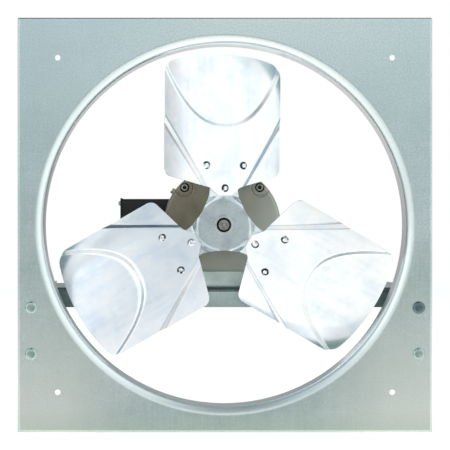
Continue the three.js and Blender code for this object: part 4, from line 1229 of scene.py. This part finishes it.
def through_bolt(shank_length):
    """A washer head with a hexagonal socket, and a shank that is threaded at its end."""
    head = revolved(filleted([
        (0, 0), (THROUGH_BOLT_HEAD - 0.9, 0, 1.2), (THROUGH_BOLT_HEAD - 0.5, 1.2), (THROUGH_BOLT_HEAD - 0.1, 1.6),
        (THROUGH_BOLT_HEAD, THROUGH_BOLT_HEAD_HEIGHT), (0, THROUGH_BOLT_HEAD_HEIGHT),
    ]), 40)
    socket = hexagon(2 * THROUGH_BOLT_SOCKET * 0.95, -2, 2.4, segments=24)
    points, faces = threaded(THROUGH_BOLT_SHANK, shank_length - 14, shank_length, pitch=0.8, segments=16)
    shank = [(x, y + 2.5 if y < 1 else y, z) for x, y, z in points], faces
    return stacked(carved(head, socket), cleaned(mesh_of(shank)))


bolt_start = SHIELD_FRONT + BOLT_POCKET_DEPTH - THROUGH_BOLT_HEAD_HEIGHT
bolt_length = SHIELD_REAR - BOLT_POCKET_DEPTH / 2 - bolt_start
bolt = through_bolt(bolt_length - 2)
for corner, x, z in bolt_corners():
    place = shift(x, bolt_start, z)
    fastener(f"casing_bolt_{corner}", bolt.copy(), f"through_bolt_{corner}", place, SOCKET_BOLT)


# Terminal box, with its open side closed by a cover

def make_box():
    """A moulded cup: its rim faces the cover, and its closed end follows the round shell."""
    rim = -BOX_REACH + COVER_SHEET + FIT_GAP
    middle = (BOX_FRONT + BOX_REAR) / 2

    def loop(wall, x=None):
        """A loop round the box, as far inside it as the wall is thick, at x or along the round shell."""
        half, depth = BOX_HALF_HEIGHT - wall, (BOX_REAR - BOX_FRONT) / 2 - wall
        corner = BOX_CORNER - wall
        quarter = [
            (depth - corner + corner * math.sin(a), half - corner + corner * math.cos(a))
            for a in spaced(0, math.pi / 2, 5)
        ]
        right = quarter + [(depth, z) for z in spaced(half - corner, corner - half, 12)[1:-1]]
        right += [(y, -z) for y, z in reversed(quarter)]
        shell = SHELL_RADIUS + FIT_GAP + wall
        return [
            (-math.sqrt(shell ** 2 - z ** 2) if x is None else x, middle + y, z)
            for y, z in right + [(-y, z) for y, z in reversed(right)]
        ]

    outside = [loop(0, x) for x in reversed(spaced(rim, -BOX_ROOT, 8))]
    loops = [loop(0), *outside, loop(BOX_WALL, rim), loop(BOX_WALL)]
    points, faces = lofted(loops)
    count = len(loops[0])
    for start, flip in ((0, 1), (len(points) - count, -1)):
        for step in range(count // 2 - 1):
            far = start + count - 1 - step
            faces.append((start + step, start + step + 1, far - 1, far)[::flip])
    return points, faces


piece("junction_box", make_box(), "frame", "terminal_box", "black_plastic")


def make_cover():
    """A slab that overlaps the box a little, with a shallow recess in its face."""
    face, half = -BOX_REACH, BOX_HALF_HEIGHT
    cover = slab(
        (face, BOX_FRONT - COVER_LIP, -half - COVER_LIP),
        (face + COVER_SHEET, BOX_REAR + COVER_LIP, half + COVER_LIP), 5, edge=0.6, steps=5,
    )
    inset_y, inset_z = COVER_RECESS_INSET
    recess = slab(
        (face - 2, BOX_FRONT + inset_y, inset_z - half),
        (face + COVER_RECESS_DEPTH, BOX_REAR - inset_y, half - inset_z), 4, edge=0.2, steps=5,
    )
    return carved(cover, recess)


piece("junction_box_cover", make_cover(), "frame", "terminal_box_cover", "black_plastic")


def dome_screw(head, height, shank, length):
    """A round head with a cross recess, its shank towards +Y."""
    sphere = (head ** 2 + height ** 2) / (2 * height)
    profile = [(0, -height)]
    for radius in spaced(0.15 * head, head - 0.1, 7):
        profile.append((radius, sphere - height - math.sqrt(sphere ** 2 - radius ** 2)))
    profile += [(head, 0), (shank, 0), (shank, length - 0.5), (shank - 0.4, length), (0, length)]
    arm, reach = 0.16 * head, 0.58 * head
    tools = [
        slab((-half_x, -height - 1, -half_z), (half_x, -height + 1.1, half_z), 0.12, thin=1)
        for half_x, half_z in ((reach, arm), (arm, reach))
    ]
    return carved(revolved(profile, 32), *tools)


for level, y, z in (
    ("upper", BOX_FRONT + COVER_SCREW_SETBACK, COVER_SCREW_Z),
    ("lower", BOX_REAR - COVER_SCREW_SETBACK, -COVER_SCREW_Z),
):
    screw = dome_screw(COVER_SCREW_HEAD, COVER_SCREW_HEIGHT, COVER_SCREW_SHANK, 8)
    fastener(f"box_screw_{level}", screw, f"cover_screw_{level}", shift(-BOX_REACH - FIT_GAP, y, z) @ spin(-90, "Z"))


def make_ground_screw():
    """A slotted hexagonal head on a flange, and its short shank."""
    flange = revolved(filleted([(0, -1.2), (GROUND_SCREW_HEAD, -1.2, 0.4), (GROUND_SCREW_HEAD, 0), (0, 0)]), 32)
    across = 2 * GROUND_SCREW_HEAD * math.cos(math.pi / 6)
    head = hexagon(0.86 * across, -GROUND_SCREW_HEIGHT, -0.9, chamfer_low=True)
    slot = slab((-5, -GROUND_SCREW_HEIGHT - 1, -0.5), (5, -GROUND_SCREW_HEIGHT + 1, 0.5), 0.1, thin=1)
    shank = threaded(GROUND_SCREW_SHANK, 0.4, SHELL_SHEET + GROUND_SCREW_SHANK, 0.7, 16)
    return stacked(carved(head, slot), cleaned(mesh_of(flange)), cleaned(mesh_of(shank)))


turn = math.radians(GROUND_SCREW_TURN)
ground_seat = SHELL_RADIUS + FIT_GAP
piece(
    "earth_screw", make_ground_screw(), "frame", "ground_screw", "green_screw",
    shift(ground_seat * math.cos(turn), GROUND_SCREW_Y, ground_seat * math.sin(turn))
    @ spin(-GROUND_SCREW_TURN, "Y") @ spin(90, "Z"),
)


# Propeller

def corner_pull(across, radius):
    into = abs(across) - (BLADE_HALF_WIDTH - radius)
    return radius - math.sqrt(max(radius ** 2 - into ** 2, 0)) if into > 0 else 0


def blade_foot(across):
    half = abs(across)
    foot = BLADE_END
    if half > BLADE_END_HALF_WIDTH:
        throat = (BLADE_NECK - BLADE_END) / (BLADE_NECK_HALF_WIDTH - BLADE_END_HALF_WIDTH)
        foot = BLADE_END + throat * (half - BLADE_END_HALF_WIDTH)
    if half > BLADE_NECK_HALF_WIDTH:
        slope = (BLADE_SHOULDER - BLADE_NECK) / (BLADE_HALF_WIDTH - BLADE_NECK_HALF_WIDTH)
        foot = BLADE_NECK + slope * (half - BLADE_NECK_HALF_WIDTH)
    return foot + corner_pull(across, BLADE_SHOULDER_CORNER)


def blade_tip(across):
    projected = across * math.cos(math.radians(PITCH))
    return math.sqrt(TIP_RADIUS ** 2 - projected ** 2) - corner_pull(across, BLADE_TIP_CORNER)


def tip_joggle(across):
    span = TIP_RADIUS - BLADE_END
    rise = TIP_JOGGLE_RISE_SHARE * abs(across / BLADE_HALF_WIDTH) ** TIP_JOGGLE_POWER
    return BLADE_END + span * (TIP_JOGGLE_SHARE + rise)


def tip_joggle_lean(across):
    """How much steeper than level the tip joggle runs here: its own width is wider measured upright."""
    step = 0.5
    slope = (tip_joggle(across + step) - tip_joggle(across - step)) / (2 * step)
    return math.hypot(1, slope)


SIDE_JOGGLE_SLOPE = (SIDE_JOGGLE_TOP - BLADE_NECK) / (BLADE_HALF_WIDTH - SIDE_JOGGLE_FOOT)
SIDE_JOGGLE_LEAN = math.hypot(1, SIDE_JOGGLE_SLOPE)


def side_joggle(across):
    return BLADE_NECK + SIDE_JOGGLE_SLOPE * (abs(across) - SIDE_JOGGLE_FOOT)


def blade_drop(across, height):
    """How far the sheet lies behind the blade's pressed middle, at a point of its plane."""
    run = max(abs(across) - SWEEP_START, 0) / (BLADE_HALF_WIDTH - SWEEP_START)
    over_tip = (height - tip_joggle(across)) / tip_joggle_lean(across)
    under_side = (side_joggle(across) - height) / SIDE_JOGGLE_LEAN
    tip_step = even_slope(over_tip / JOGGLE_RUN)
    side_step = even_slope(under_side / JOGGLE_RUN + 0.5)
    return SWEEP_BACK * run ** 2 + JOGGLE_DEPTH * max(tip_step, side_step)


def blade_columns():
    """The places of the blade's columns of points, closer together at its rounded corners."""
    corner_start = BLADE_HALF_WIDTH - BLADE_TIP_CORNER
    right = spaced(0, corner_start, 34) + [BLADE_END_HALF_WIDTH, BLADE_NECK_HALF_WIDTH]
    right += [corner_start + BLADE_TIP_CORNER * math.sin(a) for a in spaced(0, math.pi / 2, 12)[1:]]
    right = sorted(set(right))
    return [-across for across in reversed(right[1:])] + right


def blade_heights(across):
    """The heights of the sheet's points at one column, closer together over the two joggles."""
    margin = 0.4
    foot, tip = blade_foot(across), blade_tip(across)
    half_side = JOGGLE_RUN * SIDE_JOGGLE_LEAN / 2
    lower = min(max(side_joggle(across) - half_side, foot + margin), tip - 6 * margin)
    upper = min(max(side_joggle(across) + half_side, lower + margin), tip - 5 * margin)
    tip_lower = min(max(tip_joggle(across), upper + margin), tip - 3 * margin)
    tip_upper = min(tip_lower + JOGGLE_RUN * tip_joggle_lean(across), tip - margin)
    return stretches(foot, (lower, 10), (upper, 8), (tip_lower, 26), (tip_upper, 8), (tip, 16))


def make_blade():
    """A flat blade with its joggles, in its own plane: X across it, Z outward, and Y behind it."""
    columns = blade_columns()
    rows = list(zip(*(blade_heights(across) for across in columns)))
    front, back = [], []
    for row in rows:
        for across, height in zip(columns, row):
            y = BLADE_BACK + blade_drop(across, height)
            front.append((across, y - BLADE_SHEET, height))
            back.append((across, y, height))
    return thickened(front, back, grid_faces(len(rows), len(columns)))


def spider_half_width(height):
    """Half the width of an arm: its sides are arcs up to the pad, and the pad has rounded corners."""
    if height > SPIDER_PAD_END - SPIDER_PAD_CORNER:
        into = height - (SPIDER_PAD_END - SPIDER_PAD_CORNER)
        pull = math.sqrt(max(SPIDER_PAD_CORNER ** 2 - into ** 2, 0))
        return SPIDER_PAD_HALF_WIDTH - SPIDER_PAD_CORNER + pull
    if height > SPIDER_PAD_START:
        start = spider_half_width(SPIDER_PAD_START)
        share = smooth_step((height - SPIDER_PAD_START) / (SPIDER_PAD_SHOULDER - SPIDER_PAD_START))
        return start + (SPIDER_PAD_HALF_WIDTH - start) * share
    centre = SPIDER_WEB_RADIUS + SPIDER_CURVE_RADIUS
    along = centre * math.cos(math.pi / BLADE_COUNT)
    away = centre * math.sin(math.pi / BLADE_COUNT)
    return away - math.sqrt(SPIDER_CURVE_RADIUS ** 2 - (height - along) ** 2)


def spider_rows(columns):
    """Rows of (across, height, twist) over a third of the flat web and one arm, from the hole to the pad's end.

    The twist begins at a distance from the axis, so the web ends in an arc.
    """
    web_edge = SPIDER_WEB_RADIUS * math.cos(math.pi / BLADE_COUNT)
    wedge = math.tan(math.pi / BLADE_COUNT)
    rows = []
    for share in spaced(0, 1, 6):
        rows.append([])
        for column in columns:
            turn = column * math.pi / BLADE_COUNT
            across, height = SPIDER_HOLE * math.sin(turn), SPIDER_HOLE * math.cos(turn)
            across += (web_edge * wedge * column - across) * share
            height += (web_edge - height) * share
            rows[-1].append((across, height, 0.0))
    twist_end = SPIDER_FLAT_RADIUS + SPIDER_TWIST_RUN
    corner_start = SPIDER_PAD_END - SPIDER_PAD_CORNER
    heights = stretches(
        web_edge, (SPIDER_FLAT_RADIUS, 14), (twist_end, 12), (SPIDER_PAD_START, 12), (SPIDER_PAD_SHOULDER, 8),
        (corner_start, 4),
    )[1:]
    heights += [corner_start + SPIDER_PAD_CORNER * math.sin(a) for a in spaced(0, math.pi / 2, 6)[1:]]
    for height in heights:
        rows.append([])
        for column in columns:
            across = column * spider_half_width(height)
            run = (math.hypot(across, height) - SPIDER_WEB_RADIUS) / SPIDER_TWIST_RUN
            rows[-1].append((across, height, math.radians(PITCH) * smooth_step(run)))
    return rows


def make_spider():
    """A flat web round the hub, and an arm at each corner that twists to the pitch of its blade."""
    columns = spaced(-1, 1, 20)
    rows = spider_rows(columns)
    half = SPIDER_SHEET / 2
    front, back, faces = [], [], []
    for blade in range(BLADE_COUNT):
        turn = Matrix.Rotation(-2 * math.pi * blade / BLADE_COUNT, 4, "Y")
        faces += grid_faces(len(rows), len(columns), len(front))
        for across, height, twist in (spot for row in rows for spot in row):
            x, y = across * math.cos(twist), across * math.sin(twist)
            out_x, out_y = -math.sin(twist) * half, math.cos(twist) * half
            front.append(tuple(turn @ Vector((x - out_x, y - out_y, height))))
            back.append(tuple(turn @ Vector((x + out_x, y + out_y, height))))
    return thickened(*welded(front, back, faces))


def make_rivet():
    """A rivet through blade and arm: a low dome in front, its pressed-in bore, and a flat tail."""
    front = BLADE_BACK - BLADE_SHEET - 0.05
    rear = SPIDER_SHEET / 2 + 0.05
    crown = front - RIVET_HEAD_HEIGHT
    tail = rear + RIVET_TAIL_HEIGHT
    profile = filleted([
        (0, crown + 0.5), (1.3, crown + 0.35, 0.6), (2, crown, 0.5), (2.9, crown + 0.3, 0.8),
        (RIVET_HEAD, front - 0.1), (RIVET_HEAD - 0.1, front),
    ], steps=3)
    profile += [(RIVET_SHANK, front), (RIVET_SHANK, rear)]
    profile += filleted([
        (RIVET_SHANK + 0.1, rear), (RIVET_TAIL, rear, 0.3), (RIVET_TAIL, tail, 0.6), (0, tail),
    ])
    return revolved(profile, 32)


propeller_place = shift(0, PROPELLER_PLANE)
for blade in range(BLADE_COUNT):
    number = blade + 1
    place = propeller_place @ spin(-360 * blade / BLADE_COUNT, "Y") @ spin(PITCH, "Z")
    piece(
        f"blade_sheet_{number}", make_blade(), "propeller", f"blade_{number}", "blade_aluminium", place, sharp=50
    )
    for seat, across, height in (
        ("inner", *INNER_RIVET), ("outer_left", -OUTER_RIVET[0], OUTER_RIVET[1]), ("outer_right", *OUTER_RIVET),
    ):
        piece(
            f"blade_rivet_{number}_{seat}", make_rivet(), "propeller", f"rivet_{number}_{seat}",
            "rivet_aluminium", place @ shift(across, 0, height),
        )

piece("spider_plate", make_spider(), "propeller", "spider", "spider_steel", propeller_place, sharp=40)


def make_hub():
    """A bored and drilled hub with a collar through the spider and a recess round the shaft's end."""
    face = SPIDER_SHEET / 2 + FIT_GAP
    front = -face - HUB_COLLAR_HEIGHT
    bore = SHAFT_RADIUS + FIT_GAP
    profile = filleted([
        (bore, front + HUB_RECESS_DEPTH), (bore, HUB_REAR, 0.5), (HUB_RADIUS, HUB_REAR, 1), (HUB_RADIUS, face, 0.6),
        (HUB_NECK, face), (HUB_NECK, -face), (HUB_COLLAR, -face, 0.5), ((HUB_COLLAR + HUB_NECK) / 2, front, 0.8),
        (HUB_RECESS, front, 0.4), (HUB_RECESS, front + HUB_RECESS_DEPTH / 2, 0.3),
    ], closed=True)
    drill = moved(
        rod(SET_SCREW_RADIUS + FIT_GAP, 0, HUB_RADIUS + 2),
        Matrix.Translation((0, SET_SCREW_Y, 0)) @ Matrix.Rotation(math.pi / 2, 4, "X"),
    )
    return carved(revolved(profile, 64, closed=True), drill)


piece("propeller_hub", make_hub(), "propeller", "hub", "ground_steel", propeller_place, finish=HUB_FINISH)


def make_shaft():
    """A ground rod with chamfered ends and a centre dimple in each."""
    profile = filleted([
        (0, SHAFT_FRONT + 1.4), (1.2, SHAFT_FRONT), (SHAFT_RADIUS - 0.7, SHAFT_FRONT, 0.15),
        (SHAFT_RADIUS, SHAFT_FRONT + 0.7, 0.15), (SHAFT_RADIUS, SHAFT_REAR - 0.7, 0.15),
        (SHAFT_RADIUS - 0.7, SHAFT_REAR, 0.15), (1.2, SHAFT_REAR), (0, SHAFT_REAR - 1.4),
    ])
    return revolved(profile, 48)


piece("motor_shaft", make_shaft(), "propeller", "shaft", "ground_steel", propeller_place)


# CAD nodes that stay get their finish and softened edges

STAYING = {
    "stator_core": "core_steel", "stator_winding": "copper", "rotor": "core_steel",
    "front_bearing": "ground_steel", "rear_bearing": "ground_steel", "run_capacitor": "capacitor_can",
    "set_screw": "dark_steel",
}
for node, slot in STAYING.items():
    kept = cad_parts[node]
    kept.data.materials.clear()
    kept.data.materials.append(FINISHES[slot])
    kept.modifiers.new("weld", "WELD").merge_threshold = 0.005 * MM
    soften = kept.modifiers.new("soften", "BEVEL")
    soften.width = 0.3 * MM
    soften.segments = 2
    soften.limit_method = "ANGLE"
    soften.angle_limit = math.radians(40)


# Stage, light and camera

def seen_directly(tree):
    """1 for rays from the camera, from gloss and from glass, and 0 for the rest."""
    path = tree.nodes.new("ShaderNodeLightPath").outputs
    rays = (path["Is Camera Ray"], path["Is Glossy Ray"], path["Is Transmission Ray"])
    return tree.combined("MAXIMUM", *rays)


def stage_material(name, lit, shown):
    """A pale diffuse surface with a plain glow added where the camera, gloss or glass look at it."""
    material = bpy.data.materials.new(name)
    tree = Tree(material)
    tree.nodes.clear()
    diffuse = tree.add("BsdfDiffuse", {"Color": (lit, lit, lit, 1)})
    glow = tree.add("Emission", {"Strength": seen_directly(tree), "Color": (shown, shown, shown, 1)})
    tree.add("OutputMaterial", {"Surface": tree.add("AddShader", {0: diffuse, 1: glow})})
    return material


half = FLOOR_HALF
floor_z = -HALF_PANEL * MM - FLOOR_DROP
floor_mesh = bpy.data.meshes.new("floor")
floor_mesh.from_pydata(
    [(x, y, floor_z) for x, y in ((-half, -half), (half, -half), (half, half), (-half, half))], [], [(0, 1, 2, 3)]
)
floor_mesh.materials.append(stage_material("floor", 0.85, 0.6))
floor = linked("floor", floor_mesh)
floor.visible_glossy = False


class Room(Tree):
    """The world: a plain soft light, white to the camera and to glass, and a pale room that gloss reflects.

    The room's levels and tints go by direction, so it stays where it is in every view.
    """

    ramp = "SMOOTHSTEP"

    def __init__(self):
        world = bpy.data.worlds.new("studio")
        bpy.context.scene.world = world
        super().__init__(world)
        self.nodes.clear()
        self.directions = self.add("TexCoord", {}, "Generated")
        self.x, self.y, self.z = self.axes(self.directions)
        self.sideways, self.upright = (
            self.add("Math", {0: way}, operation="ABSOLUTE") for way in (self.x, self.z)
        )
        self.low_left = self.patch((self.x, -0.25, -0.6), (self.z, -0.3, -0.6))
        self.upper_left = self.patch((self.x, -0.14, -0.3), (self.z, 0.4, 0.55))
        self.off_camera = self.make_off_camera()

    def towards(self, direction):
        """How nearly a ray goes that way: 1 where it does."""
        return self.add("VectorMath", {0: self.directions, 1: direction}, "Value", operation="DOT_PRODUCT")

    def dimmed(self, share, level):
        """1 where the share is 0, down to the level where it is 1."""
        return self.between(share, 1, level, 0, 1)

    def make_off_camera(self):
        """0 round the camera and a little below the horizon there, and 1 elsewhere."""
        away = self.patch((self.towards(CAMERA_SPOT), 0.965, 0.88))
        below = self.patch((self.z, -0.22, -0.4))
        low_sides = self.patch((self.sideways, 0.03, 0.22), (self.z, -0.02, -0.2), peak=1.1)
        return self.combined("MAXIMUM", away, below, low_sides)

    def front(self):
        """The level in front of the object: pale, dark round the camera and overhead, and brighter at the foot."""
        above = self.between(self.z, CAMERA_LOW_LEVEL, CAMERA_HIGH_LEVEL, 0, 0.16)
        camera_side = self.combined("MAXIMUM", above, self.off_camera)
        gap = self.patch((self.sideways, 0.4, 0.1), (self.z, 0.42, 0.65))
        overhead = self.dimmed(gap, OVERHEAD_LEVEL)
        floor_level = self.between(self.z, FLOOR_LEVEL, 1, -0.45, -0.2)
        foot_level = self.between(self.z, FOOT_LEVEL, 1, -0.85, -0.62)
        right_level = self.between(self.x, 1, RIGHT_LEVEL, 0.35, 0.6)
        right_shade = self.patch((self.x, 0.28, 0.42), (self.x, 0.6, 0.48), (self.upright, 0.22, 0.1))
        left = self.patch((self.x, -0.45, -0.7), (self.upright, 0.35, 0.15))
        low_right = self.patch((self.x, 0.25, 0.45), (self.z, -0.25, -0.5))
        bell_foot = self.patch((self.x, -0.4, -0.5), (self.z, 0.28, 0.42))
        return self.product(
            self.combined("MINIMUM", camera_side, overhead),
            self.combined("MAXIMUM", floor_level, foot_level), right_level,
            self.dimmed(right_shade, RIGHT_SHADE_LEVEL),
            self.dimmed(self.combined("MAXIMUM", self.upper_left, left, low_right), DIMMED_LEVEL),
            self.dimmed(bell_foot, BELL_FOOT_LEVEL),
        )

    def belt(self):
        """The limit on the level beside the object and behind it, darkest at the dark spots."""
        around = self.between(self.z, AROUND_LOW_LEVEL, AROUND_HIGH_LEVEL, -0.65, 0.2)
        blue = self.patch((self.towards(BLUE_SPOT), 0.8, 0.9), peak=BLUE_LEVEL)
        under = self.between(self.z, UNDER_LEVEL, AROUND_LOW_LEVEL, -0.97, -0.6)
        around = self.combined("MINIMUM", self.combined("MAXIMUM", around, blue), under)
        dip = self.product(self.patch((self.y, 0.85, 0.97)), self.between(self.z, 0.45, 1, -0.2, 0.05))
        behind = self.product(self.patch((self.y, 0.12, 0.4)), self.dimmed(dip, BEHIND_LEVEL))
        before = self.between(self.y, FOOT_LEVEL, 0, -0.3, -0.04)
        low_left = self.between(self.low_left, 0, FLOOR_LEVEL, 0, 1)
        belt = self.combined("MAXIMUM", around, behind, low_left, before)
        for direction, level in DARK_SPOTS:
            spot = self.between(self.towards(direction), FOOT_LEVEL, level, 0.88, 0.95)
            belt = self.combined("MINIMUM", belt, spot)
        return belt

    def tint(self, camera_ray):
        """Warmer below, greener towards the camera, bluer round the upper left and beside the object."""
        tint = self.blend(self.patch((self.z, -0.3, 0.3)), (1, 1, 0.96), (0.975, 0.99, 1))
        tint = self.blend(self.off_camera, (0.92, 1, 0.99), tint)
        cold = self.product(self.patch((self.y, -0.3, 0.05)), self.dimmed(self.low_left, 0))
        for share, colour in (
            (self.upper_left, (0.9, 0.96, 1)), (cold, (0.7, 0.87, 1)),
            (self.patch((self.towards(BLUE_SPOT), 0.82, 0.92)), (0.52, 0.77, 1)),
            (self.patch((self.y, 0.25, 0.5)), (1.0, 1.0, 1.0)), (camera_ray, (1.0, 1.0, 1.0)),
        ):
            tint = self.blend(share, tint, colour)
        return tint

    def build(self):
        path = self.nodes.new("ShaderNodeLightPath").outputs
        room = self.combined("MINIMUM", self.front(), self.belt())
        gloss = self.add("Mix", {0: path["Is Glossy Ray"], 2: 1.0, 3: room})
        level = self.add("Mix", {0: seen_directly(self), 2: WORLD_LIGHT, 3: gloss})
        light = self.add("Background", {"Strength": level, "Color": self.tint(path["Is Camera Ray"])})
        self.add("OutputWorld", {"Surface": light})


Room().build()


def soft_lamp(name, place, power, glossy=False):
    """A square lamp that faces the object."""
    data = bpy.data.lights.new(name, "AREA")
    data.shape = "SQUARE"
    data.size = LAMP_SIZE
    data.energy = power
    lamp = linked(name, data)
    lamp.location = place
    lamp.rotation_mode = "QUATERNION"
    lamp.rotation_quaternion = (-Vector(place)).to_track_quat("-Z", "Y")
    lamp.visible_glossy = glossy


soft_lamp("lamp_left", (-1.9, -1.4, 0.9), 5, glossy=True)
soft_lamp("lamp_right", (2.0, -1.2, 0.6), 8)
soft_lamp("lamp_above", (0.2, -0.4, 2.2), 12)

camera_data = bpy.data.cameras.new("camera")
camera_data.lens = FOCAL_LENGTH
camera_data.sensor_width = SENSOR
camera_data.shift_x = -CAMERA_ASIDE * FOCAL_LENGTH / SENSOR / CAMERA_DISTANCE
camera_data.clip_end = 50
camera = linked("camera", camera_data)
camera.location = (CAMERA_ASIDE, -CAMERA_DISTANCE, 0)
camera.rotation_euler = (math.pi / 2, 0, 0)
bpy.context.scene.camera = camera
bpy.context.scene.view_settings.view_transform = "Standard"
